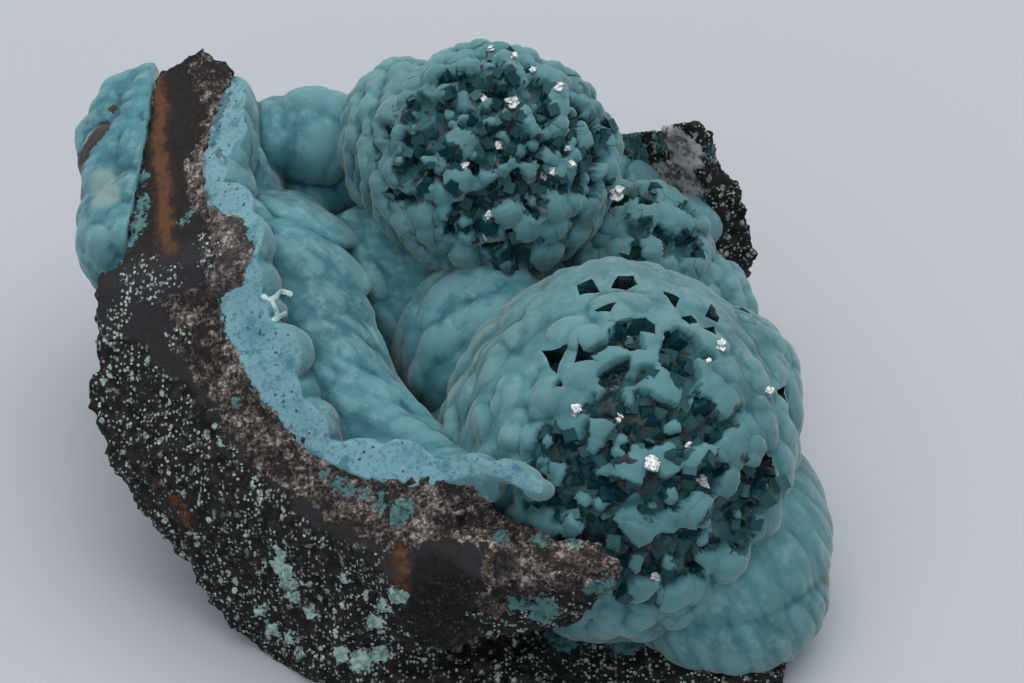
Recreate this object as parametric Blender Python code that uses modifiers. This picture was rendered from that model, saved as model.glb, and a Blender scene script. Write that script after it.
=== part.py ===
"""A chrysocolla vug: a broken piece of dark rock whose hollow is lined with a turquoise crust.

The crust grows from the wall of the hollow into domes. On the faces of the two large domes it is
broken out, and a bed of quartz crystals shows there. The rock stands on a flat sawn base.
"""

import math
import random

import bmesh
import bpy
from mathutils import Matrix, Vector, noise

# Every size and place below is in millimetres: X to the right, Y away from the viewer, Z up.
MM = 0.001
# The places were chosen about the valley of the hollow. This shift brings the origin under the
# middle of the whole specimen, on the sawn base.
ORIGIN_SHIFT = Vector((0.5, 2.7, 0.0))
SEED = 11
GAP = 0.35

# The rock: blocks between fracture planes, each the hull of its corners.
ROCK_BLOCKS = {
    "foot": [
        (-14, -31, 0), (-4, -35, 0), (20, -36.5, 0), (35, -33, 0), (38, -22, 0), (37, -2, 0),
        (35, 14, 0), (28, 28, 0), (0, 31, 0), (-22, 28, 0), (-27, 10, 0), (-26, -12, 0),
        (-8, -37, 5), (20, -38, 4), (36, -35, 4), (38, -20, 4), (38, 0, 8), (35, 16, 10),
        (28, 29, 10), (0, 32, 10), (-24, 29, 10), (-30, 10, 10),
    ],
    "left wall": [
        (-27, -12, 0), (-26, 20, 0), (-12, 24, 0), (-12, -10, 0), (-38, -7, 24), (-36.5, 4, 26),
        (-36, 14, 28), (-34, 25, 32), (-36, -6, 38), (-36, 22, 46), (-30.5, 27.5, 46),
        (-26.5, 23.5, 44), (-24, 18, 44), (-14, -6, 44),
    ],
    "front left": [
        (-39, -8, 34), (-20, -8, 42), (0, -24, 34), (8, -29, 27), (-4.4, -33.5, 24),
        (-39.5, -9.5, 24), (-22, -22.5, 25), (-5, -34.5, 20), (-33.5, -19, 13), (-26, -23.5, 7),
        (-15.5, -32, 0), (-5, -34, 0), (-10, -8, 0), (-25, -10, 0), (6, -30, 0),
    ],
    "spur": [
        (-6, -27, 24), (-5, -35.5, 21.5), (8, -38.5, 24), (19, -39.5, 24), (30, -39.5, 21.5),
        (28.5, -38.5, 18.5), (13, -37.5, 15), (3, -35, 11), (-4, -35.5, 8), (8, -27, 24),
        (16, -34, 24.5),
    ],
    "back right": [
        (12, 17, 34), (22, 16.5, 35), (29, 19, 36.5), (31.5, 18.5, 32), (34.5, 18, 26),
        (35.5, 17, 19), (32, 14, 12), (34, 14, 0), (28, 28, 0), (27, 29, 18), (20, 30, 25),
        (10, 30, 27), (8, 17, 0), (8, 29, 0),
    ],
    "back wall": [
        (-26, 20, 0), (-31.5, 25, 33), (-30, 27, 24), (-20, 32, 24), (0, 34, 27), (14, 32, 26),
        (14, 31, 0), (-22, 30, 0), (-22, 20, 30), (0, 20, 32), (14, 18, 32), (-22, 18, 0),
        (14, 18, 0),
    ],
}
# The blocks run on below the saw cut, so that it leaves a flat base.
SAW_ALLOWANCE = 4
GROUND_SIZE = 120
ROCK_VOXEL = 0.9
ROCK_SMOOTHING = 2
ROCK_FACES = 2250
# The rock's relief: the grain of each wave of it, and how far it stands out.
ROCK_RELIEF = ((7.0, 1.1), (2.6, 0.5))

# The two fracture faces that cut the wall and the crust alike: normal and distance from the origin.
BREAKS = {
    "upper break": (Vector((-0.432, -0.196, 0.88)), 42.8),
    "lower break": (Vector((-0.393, -0.608, 0.69)), 36.8),
}
BREAK_REACH = 60
BREAK_RELIEF = 0.6
BREAK_GRAIN = 8.3
BREAK_CELLS = 14

# The hollow that the crust fills: bowls given by centre and radii, and the corner where it is open.
HOLLOW_BOWLS = [
    ((3, 2, 31), (28.5, 32, 26)),
    ((-8, 10.5, 36), (18.8, 20.5, 28)),
    ((19, -13.5, 21), (21.7, 22.2, 16.5)),
    ((19, -13.5, 34), (21.7, 22.2, 24)),
    ((6, 12, 34), (20, 17.5, 30)),
    ((22, 9, 26), (13, 11, 20)),
]
HOLLOW_CORNER = [
    (30, -46, 3.5), (46, -46, 3.5), (48, -8, 4), (42, 6, 8), (30, 8, 10), (31, -46, 50),
    (52, -46, 50), (48, 10, 50), (28, 10, 50), (9, -40, 3.5), (12, -40, 11), (8, -28, 4),
    (12, -20, 4), (29.5, -41, 16),
]
HOLLOW_SIDE = [
    (33.5, -32, 1.2), (50, -36, 1.2), (50, 0, 1.2), (34.5, -2, 1.2), (33.5, -32, 20),
    (50, -36, 20), (50, 0, 20), (34.5, -2, 20),
]
HOLLOW_VOXEL = 1.6
HOLLOW_SMOOTHING = 14
HOLLOW_FACES = 520

# Where the outer crust sits, on the outside of the left wall.
SEAT_CORNERS = [
    (-35.2, 0, 46), (-34, 31, 46), (-35, 0, 22), (-32.5, 31, 24), (-50, 0, 46), (-50, 31, 46),
    (-50, 0, 15), (-50, 31, 15), (-37, 0, 17), (-35, 31, 18),
]

# The main forms of the crust: centre, radii.
FORMS = {
    "front dome": ((18.5, -13.8, 16.4), (19.3, 20.5, 20.5)),
    "front dome foot": ((29, -19, 9), (12.3, 14, 13)),
    "front dome shoulder": ((29, -10, 20.8), (10.5, 11, 11)),
    "front dome flank": ((6, -11, 12), (8.5, 11, 10)),
    "middle dome": ((4, 0.5, 18.5), (10, 9.5, 10)),
    "back dome": ((4.2, 14, 33.8), (15, 12.7, 13.5)),
    "back dome left": ((-4.5, 17.5, 34.6), (8, 8.5, 10)),
    "back dome foot": ((3, 14, 17), (15, 13, 14)),
    "right shoulder": ((21, 12, 21), (9, 8, 9)),
    "right shoulder low": ((27.5, 9, 15), (7, 8, 8)),
    "small dome": ((-15.5, 19, 31), (6.3, 6, 6.6)),
    "fin": ((-23.8, 16, 33), (2.8, 8, 9.5)),
    "lining high": ((-18.5, 9, 27), (7.5, 7.5, 10)),
    "lining upper fold": ((-17.5, 2, 25), (8, 7.5, 10)),
    "lining middle": ((-15.5, -4, 21.5), (8.5, 7.5, 9.5)),
    "lining lower fold": ((-12.5, -10, 18.5), (8.5, 7.5, 9)),
    "lining low": ((-8, -16.5, 16.5), (8.5, 8.5, 10)),
    "lining end": ((1, -24, 19), (11, 5, 9)),
    "valley floor": ((0, 0, 8), (20, 24, 6)),
}
OUTER_FORMS = {
    "upper mass": ((-35, 20, 33), (8, 10, 9)),
    "lower mass": ((-35, 10, 27), (6.5, 6.5, 8)),
    "ledge": ((-36, 20, 26), (6, 7, 7)),
}
CRUST_VOXEL = 0.7
CRUST_SMOOTHING = 3
CRUST_FACES = 5300
OUTER_CRUST_FACES = 420

# Each smoothing step moves a point this share of the way to the middle of its neighbours.
SMOOTHING_SHARE = 0.5

# Lumps that grow from the domes: how many, their radius, and how far they stand out.
DOME_LUMPS = {
    "front dome": (130, 3.2, 1.2),
    "front dome shoulder": (46, 3.0, 1.0),
    "front dome foot": (52, 3.1, 1.1),
    "back dome": (84, 3.0, 1.2),
    "back dome left": (36, 2.8, 1.0),
    "back dome foot": (60, 3.0, 1.0),
    "middle dome": (24, 3.4, 0.7),
    "small dome": (20, 2.6, 0.8),
    "right shoulder": (30, 2.6, 1.0),
    "right shoulder low": (24, 2.6, 1.0),
}
OUTER_LUMPS = (16, 2.6, 0.7)
LUMP_SPREAD = (0.75, 1.25)
# On a steep flank a lump is longer by this share, and a flank is level below this steepness.
LUMP_STRETCH = 0.5
NEARLY_LEVEL = 0.1
# How far the even spread of the lumps is disturbed.
NUDGE = 0.09

# The lumps of the lining, and where they grow: limits on the direction from the largest bowl.
LINING_LUMPS = 330
LINING_LUMP_RADII = (5.2, 4.1, 4.1)
LINING_SPREAD = (0.85, 1.15)
LINING_SLOPE = Vector((0.3, 0.5, 1))
FLOOR_BELOW = -0.55
LEFT_WALL_BELOW = Vector((-0.25, 0.42, 0.6))
BACK_WALL_BEHIND = 0.3
BACK_WALL_BELOW = -0.25
# Towards the back, above the floor, the lining is thinner by this much.
THIN_LINING = 1.6
THIN_BEHIND = 0.1
THIN_ABOVE = -0.2

# The broken-out faces of the domes: the dome, the way the face looks, its half widths in degrees
# across and up the dome, and the turquoise islands left standing in it, in shares of those widths.
FACES = {
    "quartz_druse_front": (
        "front dome", (0.145, -0.81, 0.568), (35, 42),
        [(-0.5, 0.5), (0.1, 0.6), (0.0, 0.1), (0.6, 0.05), (-0.6, -0.15), (0.2, -0.5),
         (0.55, 0.55)],
    ),
    "quartz_druse_back": (
        "back dome", (0.13, -0.79, 0.6), (38, 40),
        [(-0.55, 0.35), (0.05, 0.1), (0.45, 0.55), (0.6, -0.2), (-0.3, -0.5)],
    ),
}
FACE_SIDES = 22
FACE_RAGGED = (0.84, 1.12)
FACE_REACH = 30
FACE_DEPTH = 1.9
FACE_HEADROOM = 2.5
BED_DEPTH = 1.0
BED_THICKNESS = 0.6
ISLAND_RADIUS = 1.7
ISLAND_SIDES = 7
ISLAND_RAGGED = (0.75, 1.4)
ISLAND_REACH = 10
CRYSTAL_TRIES = 900
CRYSTAL_SPACING = 1.8
CRYSTAL_SIDES = 6
CRYSTAL_RADIUS = 1.2
CRYSTAL_TIP = 0.12
CRYSTAL_HEIGHT = 1.7
CRYSTAL_SPREAD = (0.7, 1.2)
CRYSTAL_LEAN = 0.15
CLEAR_OF_ISLAND = 4.1
CLEAR_OF_EDGE = 0.64

# The three-sided windows in the crust above the front dome's broken-out face.
WINDOW_ZONE = (Vector((0.12, -0.12, 0.98)), 34)
WINDOWS = 16
WINDOW_SIDES = 3
WINDOW_RADIUS = 1.7
WINDOW_SPREAD = (0.7, 1.2)
WINDOW_DEPTH = 2.2
WINDOW_SPACING = 11
# A window widens outwards: its radius at the bottom and at the top, in shares of its own radius.
WINDOW_TAPER = (0.4, 1.6)
WINDOW_HEADROOM = 2.2
# Any turn of a crystal or window about its own axis, in radians.
MOST_SPIN = 3

# The colour and roughness of each material.
FINISHES = {
    "dark rock": ((0.05, 0.05, 0.055), 0.8),
    "turquoise crust": ((0.1, 0.33, 0.36), 0.6),
    "dark quartz": ((0.03, 0.12, 0.14), 0.15),
}


def clear_scene():
    for old in list(bpy.data.objects):
        bpy.data.objects.remove(old, do_unlink=True)


def new_collection(name):
    collection = bpy.data.collections.new(name)
    bpy.context.scene.collection.children.link(collection)
    return collection


def make_material(name):
    """A plain material with the colour and roughness seen in daylight."""
    colour, roughness = FINISHES[name]
    material = bpy.data.materials.new(name)
    material.use_nodes = True
    shader = material.node_tree.nodes["Principled BSDF"]
    shader.inputs["Base Color"].default_value = (*colour, 1)
    shader.inputs["Roughness"].default_value = roughness
    return material


def place(point):
    """A place in millimetres as a world position in metres."""
    return (Vector(point) + ORIGIN_SHIFT) * MM


def along(direction):
    """The rotation that turns Z to a direction."""
    return Vector(direction).to_track_quat("Z", "Y").to_matrix().to_4x4()


def add_ellipsoid(shape, centre, radii, turn=None, detail=3):
    turned = Matrix() if turn is None else along(turn)
    size = Matrix.Diagonal((*[radius * MM for radius in radii], 1))
    where = Matrix.Translation(place(centre)) @ turned @ size
    bmesh.ops.create_icosphere(shape, subdivisions=detail, radius=1, matrix=where)


def add_cone(shape, centre, direction, sides, radius, top_radius, height, spin=0.0):
    """Add a cone or prism that starts at a centre and runs along a direction."""
    middle = Vector(centre) + Vector(direction).normalized() * height / 2
    where = Matrix.Translation(place(middle)) @ along(direction) @ Matrix.Rotation(spin, 4, "Z")
    return bmesh.ops.create_cone(
        shape, cap_ends=True, cap_tris=False, segments=sides,
        radius1=radius * MM, radius2=top_radius * MM, depth=height * MM, matrix=where,
    )["verts"]


def add_hull(shape, corners):
    """Add the convex block between the given corners to a bmesh."""
    block = bmesh.new()
    for corner in corners:
        block.verts.new(place(corner))
    hull = bmesh.ops.convex_hull(block, input=block.verts)
    spare = set(hull["geom_interior"]) | set(hull["geom_unused"])
    spare_points = [item for item in spare if isinstance(item, bmesh.types.BMVert)]
    bmesh.ops.delete(block, geom=spare_points, context="VERTS")
    bmesh.ops.recalc_face_normals(block, faces=block.faces)
    mesh = bpy.data.meshes.new("block")
    block.to_mesh(mesh)
    shape.from_mesh(mesh)
    block.free()
    bpy.data.meshes.remove(mesh)


def make_object(name, shape, collection):
    mesh = bpy.data.meshes.new(name)
    shape.to_mesh(mesh)
    shape.free()
    thing = bpy.data.objects.new(name, mesh)
    collection.objects.link(thing)
    return thing


def settle(thing):
    """Replace an object's mesh by what its modifiers make of it."""
    graph = bpy.context.evaluated_depsgraph_get()
    mesh = bpy.data.meshes.new_from_object(thing.evaluated_get(graph))
    thing.modifiers.clear()
    thing.data = mesh


def fuse(thing, voxel, smoothing):
    """Fuse overlapping shapes into one skin and soften the creases between them."""
    remesh = thing.modifiers.new("fuse", "REMESH")
    remesh.mode = "VOXEL"
    remesh.voxel_size = voxel * MM
    soften = thing.modifiers.new("soften", "SMOOTH")
    soften.factor = SMOOTHING_SHARE
    soften.iterations = smoothing
    settle(thing)


def thin(thing, faces):
    """Bring a mesh down to about the given number of triangles."""
    triangles = sum(len(face.vertices) - 2 for face in thing.data.polygons)
    decimate = thing.modifiers.new("thin", "DECIMATE")
    decimate.ratio = min(1, faces / triangles)
    decimate.use_collapse_triangulate = True
    settle(thing)


def draw_in(thing, inset):
    """Move a closed skin inwards by an inset."""
    inward = thing.modifiers.new("draw in", "DISPLACE")
    inward.strength = -inset * MM
    inward.mid_level = 0
    settle(thing)


def cut(thing, cutter, operation="DIFFERENCE"):
    boolean = thing.modifiers.new(cutter.name, "BOOLEAN")
    boolean.operation = operation
    boolean.object = cutter
    return boolean


def drop_crumbs(thing):
    """Keep the largest body of an object and drop the crumbs that its cuts leave loose."""
    settle(thing)
    shape = bmesh.new()
    shape.from_mesh(thing.data)
    unseen = set(shape.verts)
    bodies = []
    while unseen:
        body = {unseen.pop()}
        edge_of_body = list(body)
        while edge_of_body:
            corner = edge_of_body.pop()
            fresh = {link.other_vert(corner) for link in corner.link_edges} - body
            body |= fresh
            edge_of_body.extend(fresh)
        unseen -= body
        bodies.append(body)
    largest = max(bodies, key=len)
    crumbs = [corner for body in bodies if body is not largest for corner in body]
    bmesh.ops.delete(shape, geom=crumbs, context="VERTS")
    shape.to_mesh(thing.data)
    shape.free()


def hide(cutters):
    for cutter in cutters.objects:
        cutter.hide_render = True
        cutter.display_type = "WIRE"


def spread_directions(count, rng):
    """Evenly spread directions, each nudged a little so that no pattern shows."""
    golden = math.pi * (3 - math.sqrt(5))
    directions = []
    for index in range(count):
        height = 1 - 2 * (index + 0.5) / count
        turn = index * golden
        level = math.sqrt(1 - height * height)
        nudge = Vector([rng.uniform(-NUDGE, NUDGE) for _ in range(3)])
        direction = Vector((level * math.cos(turn), level * math.sin(turn), height)) + nudge
        directions.append(direction.normalized())
    return directions


def on_form(centre, radii, direction, sunk=0.0):
    """The point of an ellipsoid in a direction, or one sunk under its skin."""
    return Vector(centre) + Vector([axis * (radius - sunk) for axis, radius in zip(direction, radii)])


def make_break(name, normal, distance, cutters):
    """The space above a fracture face, whose lower side has the face's shallow relief."""
    shape = bmesh.new()
    bmesh.ops.create_grid(shape, x_segments=BREAK_CELLS, y_segments=BREAK_CELLS, size=BREAK_REACH * MM)
    for corner in shape.verts:
        if not corner.is_boundary:
            corner.co.z += BREAK_RELIEF * MM * noise.noise(corner.co / (BREAK_GRAIN * MM))
    skin = bmesh.ops.extrude_face_region(shape, geom=shape.faces[:])
    raised = [item for item in skin["geom"] if isinstance(item, bmesh.types.BMVert)]
    for corner in raised:
        corner.co.z = BREAK_REACH * MM
    bmesh.ops.recalc_face_normals(shape, faces=shape.faces)
    shape.transform(Matrix.Translation(place(normal.normalized() * distance)) @ along(normal))
    return make_object(name, shape, cutters)


def make_hollow(name, inset, cutters):
    """The space of the hollow, or the same space drawn in by an inset all round."""
    shape = bmesh.new()
    for centre, radii in HOLLOW_BOWLS:
        add_ellipsoid(shape, centre, radii)
    add_hull(shape, HOLLOW_CORNER)
    add_hull(shape, HOLLOW_SIDE)
    hollow = make_object(name, shape, cutters)
    fuse(hollow, HOLLOW_VOXEL, HOLLOW_SMOOTHING)
    thin(hollow, HOLLOW_FACES)
    if inset:
        draw_in(hollow, inset)
    return hollow


def make_seat(name, inset, cutters):
    """The space outside the left wall that the outer crust takes up."""
    shape = bmesh.new()
    add_hull(shape, [Vector(corner) - Vector((inset, 0, 0)) for corner in SEAT_CORNERS])
    return make_object(name, shape, cutters)


def make_ground(cutters):
    shape = bmesh.new()
    below = Matrix.Translation((0, 0, -GROUND_SIZE / 2 * MM))
    bmesh.ops.create_cube(shape, size=GROUND_SIZE * MM, matrix=below)
    return make_object("under the saw cut", shape, cutters)


def make_rock(part):
    shape = bmesh.new()
    for corners in ROCK_BLOCKS.values():
        add_hull(shape, [(x, y, z if z > 0 else -SAW_ALLOWANCE) for x, y, z in corners])
    rock = make_object("matrix_rock", shape, part)
    fuse(rock, ROCK_VOXEL, ROCK_SMOOTHING)
    for point in rock.data.vertices:
        lift = sum(height * noise.noise(point.co / (grain * MM)) for grain, height in ROCK_RELIEF)
        point.co += point.normal * lift * MM
    thin(rock, ROCK_FACES)
    return rock


def add_form_lumps(shape, form, count, radius, stand, rng):
    """Cover a form with lumps. Those on its flanks are drawn out down the slope."""
    centre, radii = form
    for direction in spread_directions(count, rng):
        size = radius * rng.uniform(*LUMP_SPREAD)
        lump_centre = on_form(centre, radii, direction) - direction * (size - stand)
        steepness = math.sqrt(1 - direction.z ** 2)
        down = direction.cross(Vector((0, 0, 1))).cross(direction)
        if steepness < NEARLY_LEVEL:
            down = Vector((0, 1, 0))
        long = size * (1 + LUMP_STRETCH * steepness)
        add_ellipsoid(shape, lump_centre, (size, size, long), down, 2)


def add_lining(shape, rng):
    """Lumps along the left and back wall of the hollow: the crust that lines it."""
    centre, radii = HOLLOW_BOWLS[0]
    for direction in spread_directions(LINING_LUMPS, rng):
        low_floor = direction.z < FLOOR_BELOW
        left_wall = all(part < limit for part, limit in zip(direction, LEFT_WALL_BELOW))
        back_wall = direction.y > BACK_WALL_BEHIND and direction.z < BACK_WALL_BELOW
        if not (low_floor or left_wall or back_wall):
            continue
        size = rng.uniform(*LINING_SPREAD)
        thin_stretch = direction.y > THIN_BEHIND and direction.z > THIN_ABOVE
        sunk = -THIN_LINING if thin_stretch else 0
        lump = [radius * size for radius in LINING_LUMP_RADII]
        lean = direction.cross(LINING_SLOPE)
        add_ellipsoid(shape, on_form(centre, radii, direction, sunk), lump, lean, 2)


def make_crust(part):
    rng = random.Random(SEED)
    shape = bmesh.new()
    for centre, radii in FORMS.values():
        add_ellipsoid(shape, centre, radii)
    for form, (count, radius, stand) in DOME_LUMPS.items():
        add_form_lumps(shape, FORMS[form], count, radius, stand, rng)
    add_lining(shape, rng)
    crust = make_object("chrysocolla_crust", shape, part)
    fuse(crust, CRUST_VOXEL, CRUST_SMOOTHING)
    thin(crust, CRUST_FACES)
    return crust


def make_outer_crust(part):
    rng = random.Random(SEED + 1)
    shape = bmesh.new()
    for centre, radii in OUTER_FORMS.values():
        add_ellipsoid(shape, centre, radii)
        add_form_lumps(shape, (centre, radii), *OUTER_LUMPS, rng)
    crust = make_object("chrysocolla_outer_crust", shape, part)
    fuse(crust, CRUST_VOXEL, CRUST_SMOOTHING)
    thin(crust, OUTER_CRUST_FACES)
    return crust


def face_direction(look, half_widths, share):
    """The direction at a share of the half widths across and up a broken-out face."""
    slopes = [math.tan(math.radians(width * part)) for width, part in zip(half_widths, share)]
    return (along(look) @ Vector((*slopes, 1))).normalized()


def roughen_outline(corners, limits, rng):
    """Move the corners of a straight-sided shape in or out, each pair by its own share."""
    shares = {}
    for corner in corners:
        turn = round(math.atan2(corner.co.y, corner.co.x), 3)
        share = shares.setdefault(turn, rng.uniform(*limits))
        corner.co.x *= share
        corner.co.y *= share


def face_cutter(name, shrink, cutters):
    """The space over a broken-out face, with the turquoise islands left out of it."""
    form, look, half_widths, islands = FACES[name]
    centre, radii = FORMS[form]
    rng = random.Random(name)
    narrower = math.degrees(shrink / radii[0])
    across, up = [FACE_REACH * math.tan(math.radians(width - narrower)) for width in half_widths]
    shape = bmesh.new()
    bmesh.ops.create_cone(
        shape, cap_ends=True, segments=FACE_SIDES, radius1=0, radius2=MM, depth=FACE_REACH * MM,
    )
    roughen_outline(shape.verts, FACE_RAGGED, rng)
    shape.transform(Matrix.Translation((0, 0, FACE_REACH * MM / 2)))
    shape.transform(Matrix.Diagonal((across, up, 1, 1)))
    shape.transform(Matrix.Translation(place(centre)) @ along(look))
    bmesh.ops.recalc_face_normals(shape, faces=shape.faces)
    face = make_object(f"{name} face, drawn in {shrink}", shape, cutters)

    shape = bmesh.new()
    for share in islands:
        direction = face_direction(look, half_widths, share)
        radius = (ISLAND_RADIUS + shrink) * MM
        pillar = bmesh.new()
        bmesh.ops.create_cone(
            pillar, cap_ends=True, segments=ISLAND_SIDES, radius1=radius, radius2=radius,
            depth=ISLAND_REACH * MM, matrix=Matrix.Rotation(rng.random(), 4, "Z"),
        )
        roughen_outline(pillar.verts, ISLAND_RAGGED, rng)
        pillar.transform(Matrix.Translation(place(on_form(centre, radii, direction))) @ along(direction))
        mesh = bpy.data.meshes.new("pillar")
        pillar.to_mesh(mesh)
        pillar.free()
        shape.from_mesh(mesh)
        bpy.data.meshes.remove(mesh)
    pillars = make_object(f"{name} islands, grown {shrink}", shape, cutters)
    cut(face, pillars).use_self = True
    settle(face)
    return face


def make_core(name, sunk, cutters):
    """The inside of a dome below a depth under its skin."""
    centre, radii = FORMS[FACES[name][0]]
    shape = bmesh.new()
    add_ellipsoid(shape, centre, [radius - sunk for radius in radii])
    return make_object(f"{name} core, sunk {sunk}", shape, cutters)


def make_crystals(name, cutters):
    """Six-sided points that stand on the bed, clear of its edge and of the islands."""
    form, look, half_widths, islands = FACES[name]
    centre, radii = FORMS[form]
    rng = random.Random(name + "crystals")
    island_directions = [face_direction(look, half_widths, share) for share in islands]
    shape = bmesh.new()
    placed = []
    for _ in range(CRYSTAL_TRIES):
        share = (rng.uniform(-1, 1), rng.uniform(-1, 1))
        direction = face_direction(look, half_widths, share)
        near_edge = math.hypot(*share) > CLEAR_OF_EDGE
        near_island = any(
            direction.angle(other) * radii[0] < CLEAR_OF_ISLAND for other in island_directions
        )
        crowded = any(direction.angle(other) * radii[0] < CRYSTAL_SPACING for other in placed)
        if near_edge or near_island or crowded:
            continue
        placed.append(direction)
        size = rng.uniform(*CRYSTAL_SPREAD)
        lean = direction + Vector([rng.uniform(-CRYSTAL_LEAN, CRYSTAL_LEAN) for _ in range(3)])
        foot = on_form(centre, radii, direction, BED_DEPTH + BED_THICKNESS / 2)
        radius, height = CRYSTAL_RADIUS * size, CRYSTAL_HEIGHT * size
        spin = rng.random() * MOST_SPIN
        add_cone(shape, foot, lean, CRYSTAL_SIDES, radius, CRYSTAL_TIP, height, spin)
    return make_object(f"{name} crystals", shape, cutters)


def make_druse(name, part, cutters):
    """The bed of quartz crystals in a dome's broken-out face."""
    shape = bmesh.new()
    centre, radii = FORMS[FACES[name][0]]
    add_ellipsoid(shape, centre, [radius - BED_DEPTH for radius in radii])
    druse = make_object(name, shape, part)
    cut(druse, face_cutter(name, GAP, cutters), "INTERSECT")
    cut(druse, make_core(name, BED_DEPTH + BED_THICKNESS, cutters))
    grown = cut(druse, make_crystals(name, cutters), "UNION")
    grown.use_self = True
    return druse


def make_windows(cutters):
    zone, half_width = WINDOW_ZONE
    centre, radii = FORMS["front dome"]
    rng = random.Random(SEED + 2)
    shape = bmesh.new()
    placed = []
    while len(placed) < WINDOWS:
        direction = Vector([rng.gauss(0, 1) for _ in range(3)]).normalized()
        clear = all(direction.angle(other) > math.radians(WINDOW_SPACING) for other in placed)
        if direction.angle(zone) > math.radians(half_width) or not clear:
            continue
        placed.append(direction)
        foot = on_form(centre, radii, direction, WINDOW_DEPTH)
        radius = WINDOW_RADIUS * rng.uniform(*WINDOW_SPREAD)
        low, high = [radius * share for share in WINDOW_TAPER]
        reach = WINDOW_DEPTH * WINDOW_HEADROOM
        add_cone(shape, foot, direction, WINDOW_SIDES, low, high, reach, rng.random() * MOST_SPIN)
    return make_object("windows", shape, cutters)


def main():
    clear_scene()
    part = new_collection("chrysocolla_vug")
    cutters = new_collection("cutters")
    ground = make_ground(cutters)
    breaks = [make_break(name, *values, cutters) for name, values in BREAKS.items()]

    rock = make_rock(part)
    cut(rock, ground)
    cut(rock, make_hollow("hollow", 0, cutters))
    cut(rock, make_seat("seat of the outer crust", 0, cutters))
    for face in breaks:
        cut(rock, face)
    rock.data.materials.append(make_material("dark rock"))

    turquoise = make_material("turquoise crust")
    crust = make_crust(part)
    cut(crust, make_hollow("hollow, drawn in", GAP, cutters), "INTERSECT")
    for name in FACES:
        recess = face_cutter(name, 0, cutters)
        cut(recess, make_core(name, FACE_DEPTH, cutters))
        cut(recess, make_core(name, -FACE_HEADROOM, cutters), "INTERSECT")
        settle(recess)
        cut(crust, recess)
    cut(crust, make_windows(cutters))
    for face in breaks:
        cut(crust, face)
    drop_crumbs(crust)
    crust.data.materials.append(turquoise)

    outer_crust = make_outer_crust(part)
    cut(outer_crust, make_seat("seat, drawn in", GAP, cutters), "INTERSECT")
    cut(outer_crust, breaks[0])
    outer_crust.data.materials.append(turquoise)

    quartz = make_material("dark quartz")
    for name in FACES:
        druse = make_druse(name, part, cutters)
        druse.data.materials.append(quartz)
    hide(cutters)


main()
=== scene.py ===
# %% [markdown]
# # A chrysocolla vug
# The real thing is a piece of dark rock with a hollow in it. A turquoise crust lines the hollow and
# swells into domes, and on the faces of the domes the crust is broken out over quartz crystals.
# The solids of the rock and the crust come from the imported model, which is the fixed frame here.
# This script gives each of them its fine surface, and it never moves or resizes them.

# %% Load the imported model
import math
import random

import bmesh
import bpy
import numpy as np
from mathutils import Matrix, Vector, noise
from mathutils.bvhtree import BVHTree


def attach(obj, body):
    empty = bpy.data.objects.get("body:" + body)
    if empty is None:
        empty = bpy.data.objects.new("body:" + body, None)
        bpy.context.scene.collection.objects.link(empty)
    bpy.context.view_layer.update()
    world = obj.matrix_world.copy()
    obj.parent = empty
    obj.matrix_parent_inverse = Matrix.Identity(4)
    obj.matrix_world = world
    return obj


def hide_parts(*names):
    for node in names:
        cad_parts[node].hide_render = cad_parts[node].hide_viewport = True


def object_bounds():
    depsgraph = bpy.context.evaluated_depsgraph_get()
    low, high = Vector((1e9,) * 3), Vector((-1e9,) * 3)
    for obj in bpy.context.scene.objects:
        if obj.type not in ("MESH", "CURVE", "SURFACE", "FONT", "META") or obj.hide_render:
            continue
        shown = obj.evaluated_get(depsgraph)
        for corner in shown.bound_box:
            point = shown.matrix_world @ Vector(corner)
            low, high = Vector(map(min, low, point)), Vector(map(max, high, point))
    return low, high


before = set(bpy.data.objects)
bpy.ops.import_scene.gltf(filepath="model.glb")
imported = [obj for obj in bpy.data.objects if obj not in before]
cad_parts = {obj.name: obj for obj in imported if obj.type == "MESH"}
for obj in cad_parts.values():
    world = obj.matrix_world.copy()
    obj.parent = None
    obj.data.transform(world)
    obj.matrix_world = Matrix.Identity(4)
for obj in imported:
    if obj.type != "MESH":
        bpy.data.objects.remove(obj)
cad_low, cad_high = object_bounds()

MM = 0.001
print("solids", sorted(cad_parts), "size in mm", [round(x / MM, 1) for x in cad_high - cad_low])

# %% [markdown]
# ## The camera
# The photograph looks down on the specimen from the front. A long lens from about 28 cm gives the
# same gentle perspective. The camera comes first, because some marks below are placed by the pixel
# where the photograph shows them, and a sight line from the camera finds them on the surface.

# %% Set up the camera
PHOTO_WIDTH, PHOTO_HEIGHT = 1024, 683
CAMERA_TARGET = Vector((7.5, 2.7, 20)) * MM
CAMERA_ELEVATION = math.radians(42)
CAMERA_DISTANCE = 284.4 * MM
LENS, SENSOR = 90, 36
FOCAL_PIXELS = LENS / SENSOR * PHOTO_WIDTH


def new_object(name, data):
    """A new object in the scene."""
    thing = bpy.data.objects.new(name, data)
    bpy.context.scene.collection.objects.link(thing)
    return thing


camera_data = bpy.data.cameras.new("camera")
camera_data.lens = LENS
camera_data.sensor_width = SENSOR
camera_data.clip_start = 0.01
camera = new_object("camera", camera_data)
bpy.context.scene.camera = camera
backwards = Vector((0, -math.cos(CAMERA_ELEVATION), math.sin(CAMERA_ELEVATION)))
camera.location = CAMERA_TARGET + backwards * CAMERA_DISTANCE
camera.rotation_euler = (math.pi / 2 - CAMERA_ELEVATION, 0, 0)
image_up = Vector((0, math.sin(CAMERA_ELEVATION), math.cos(CAMERA_ELEVATION)))


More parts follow.
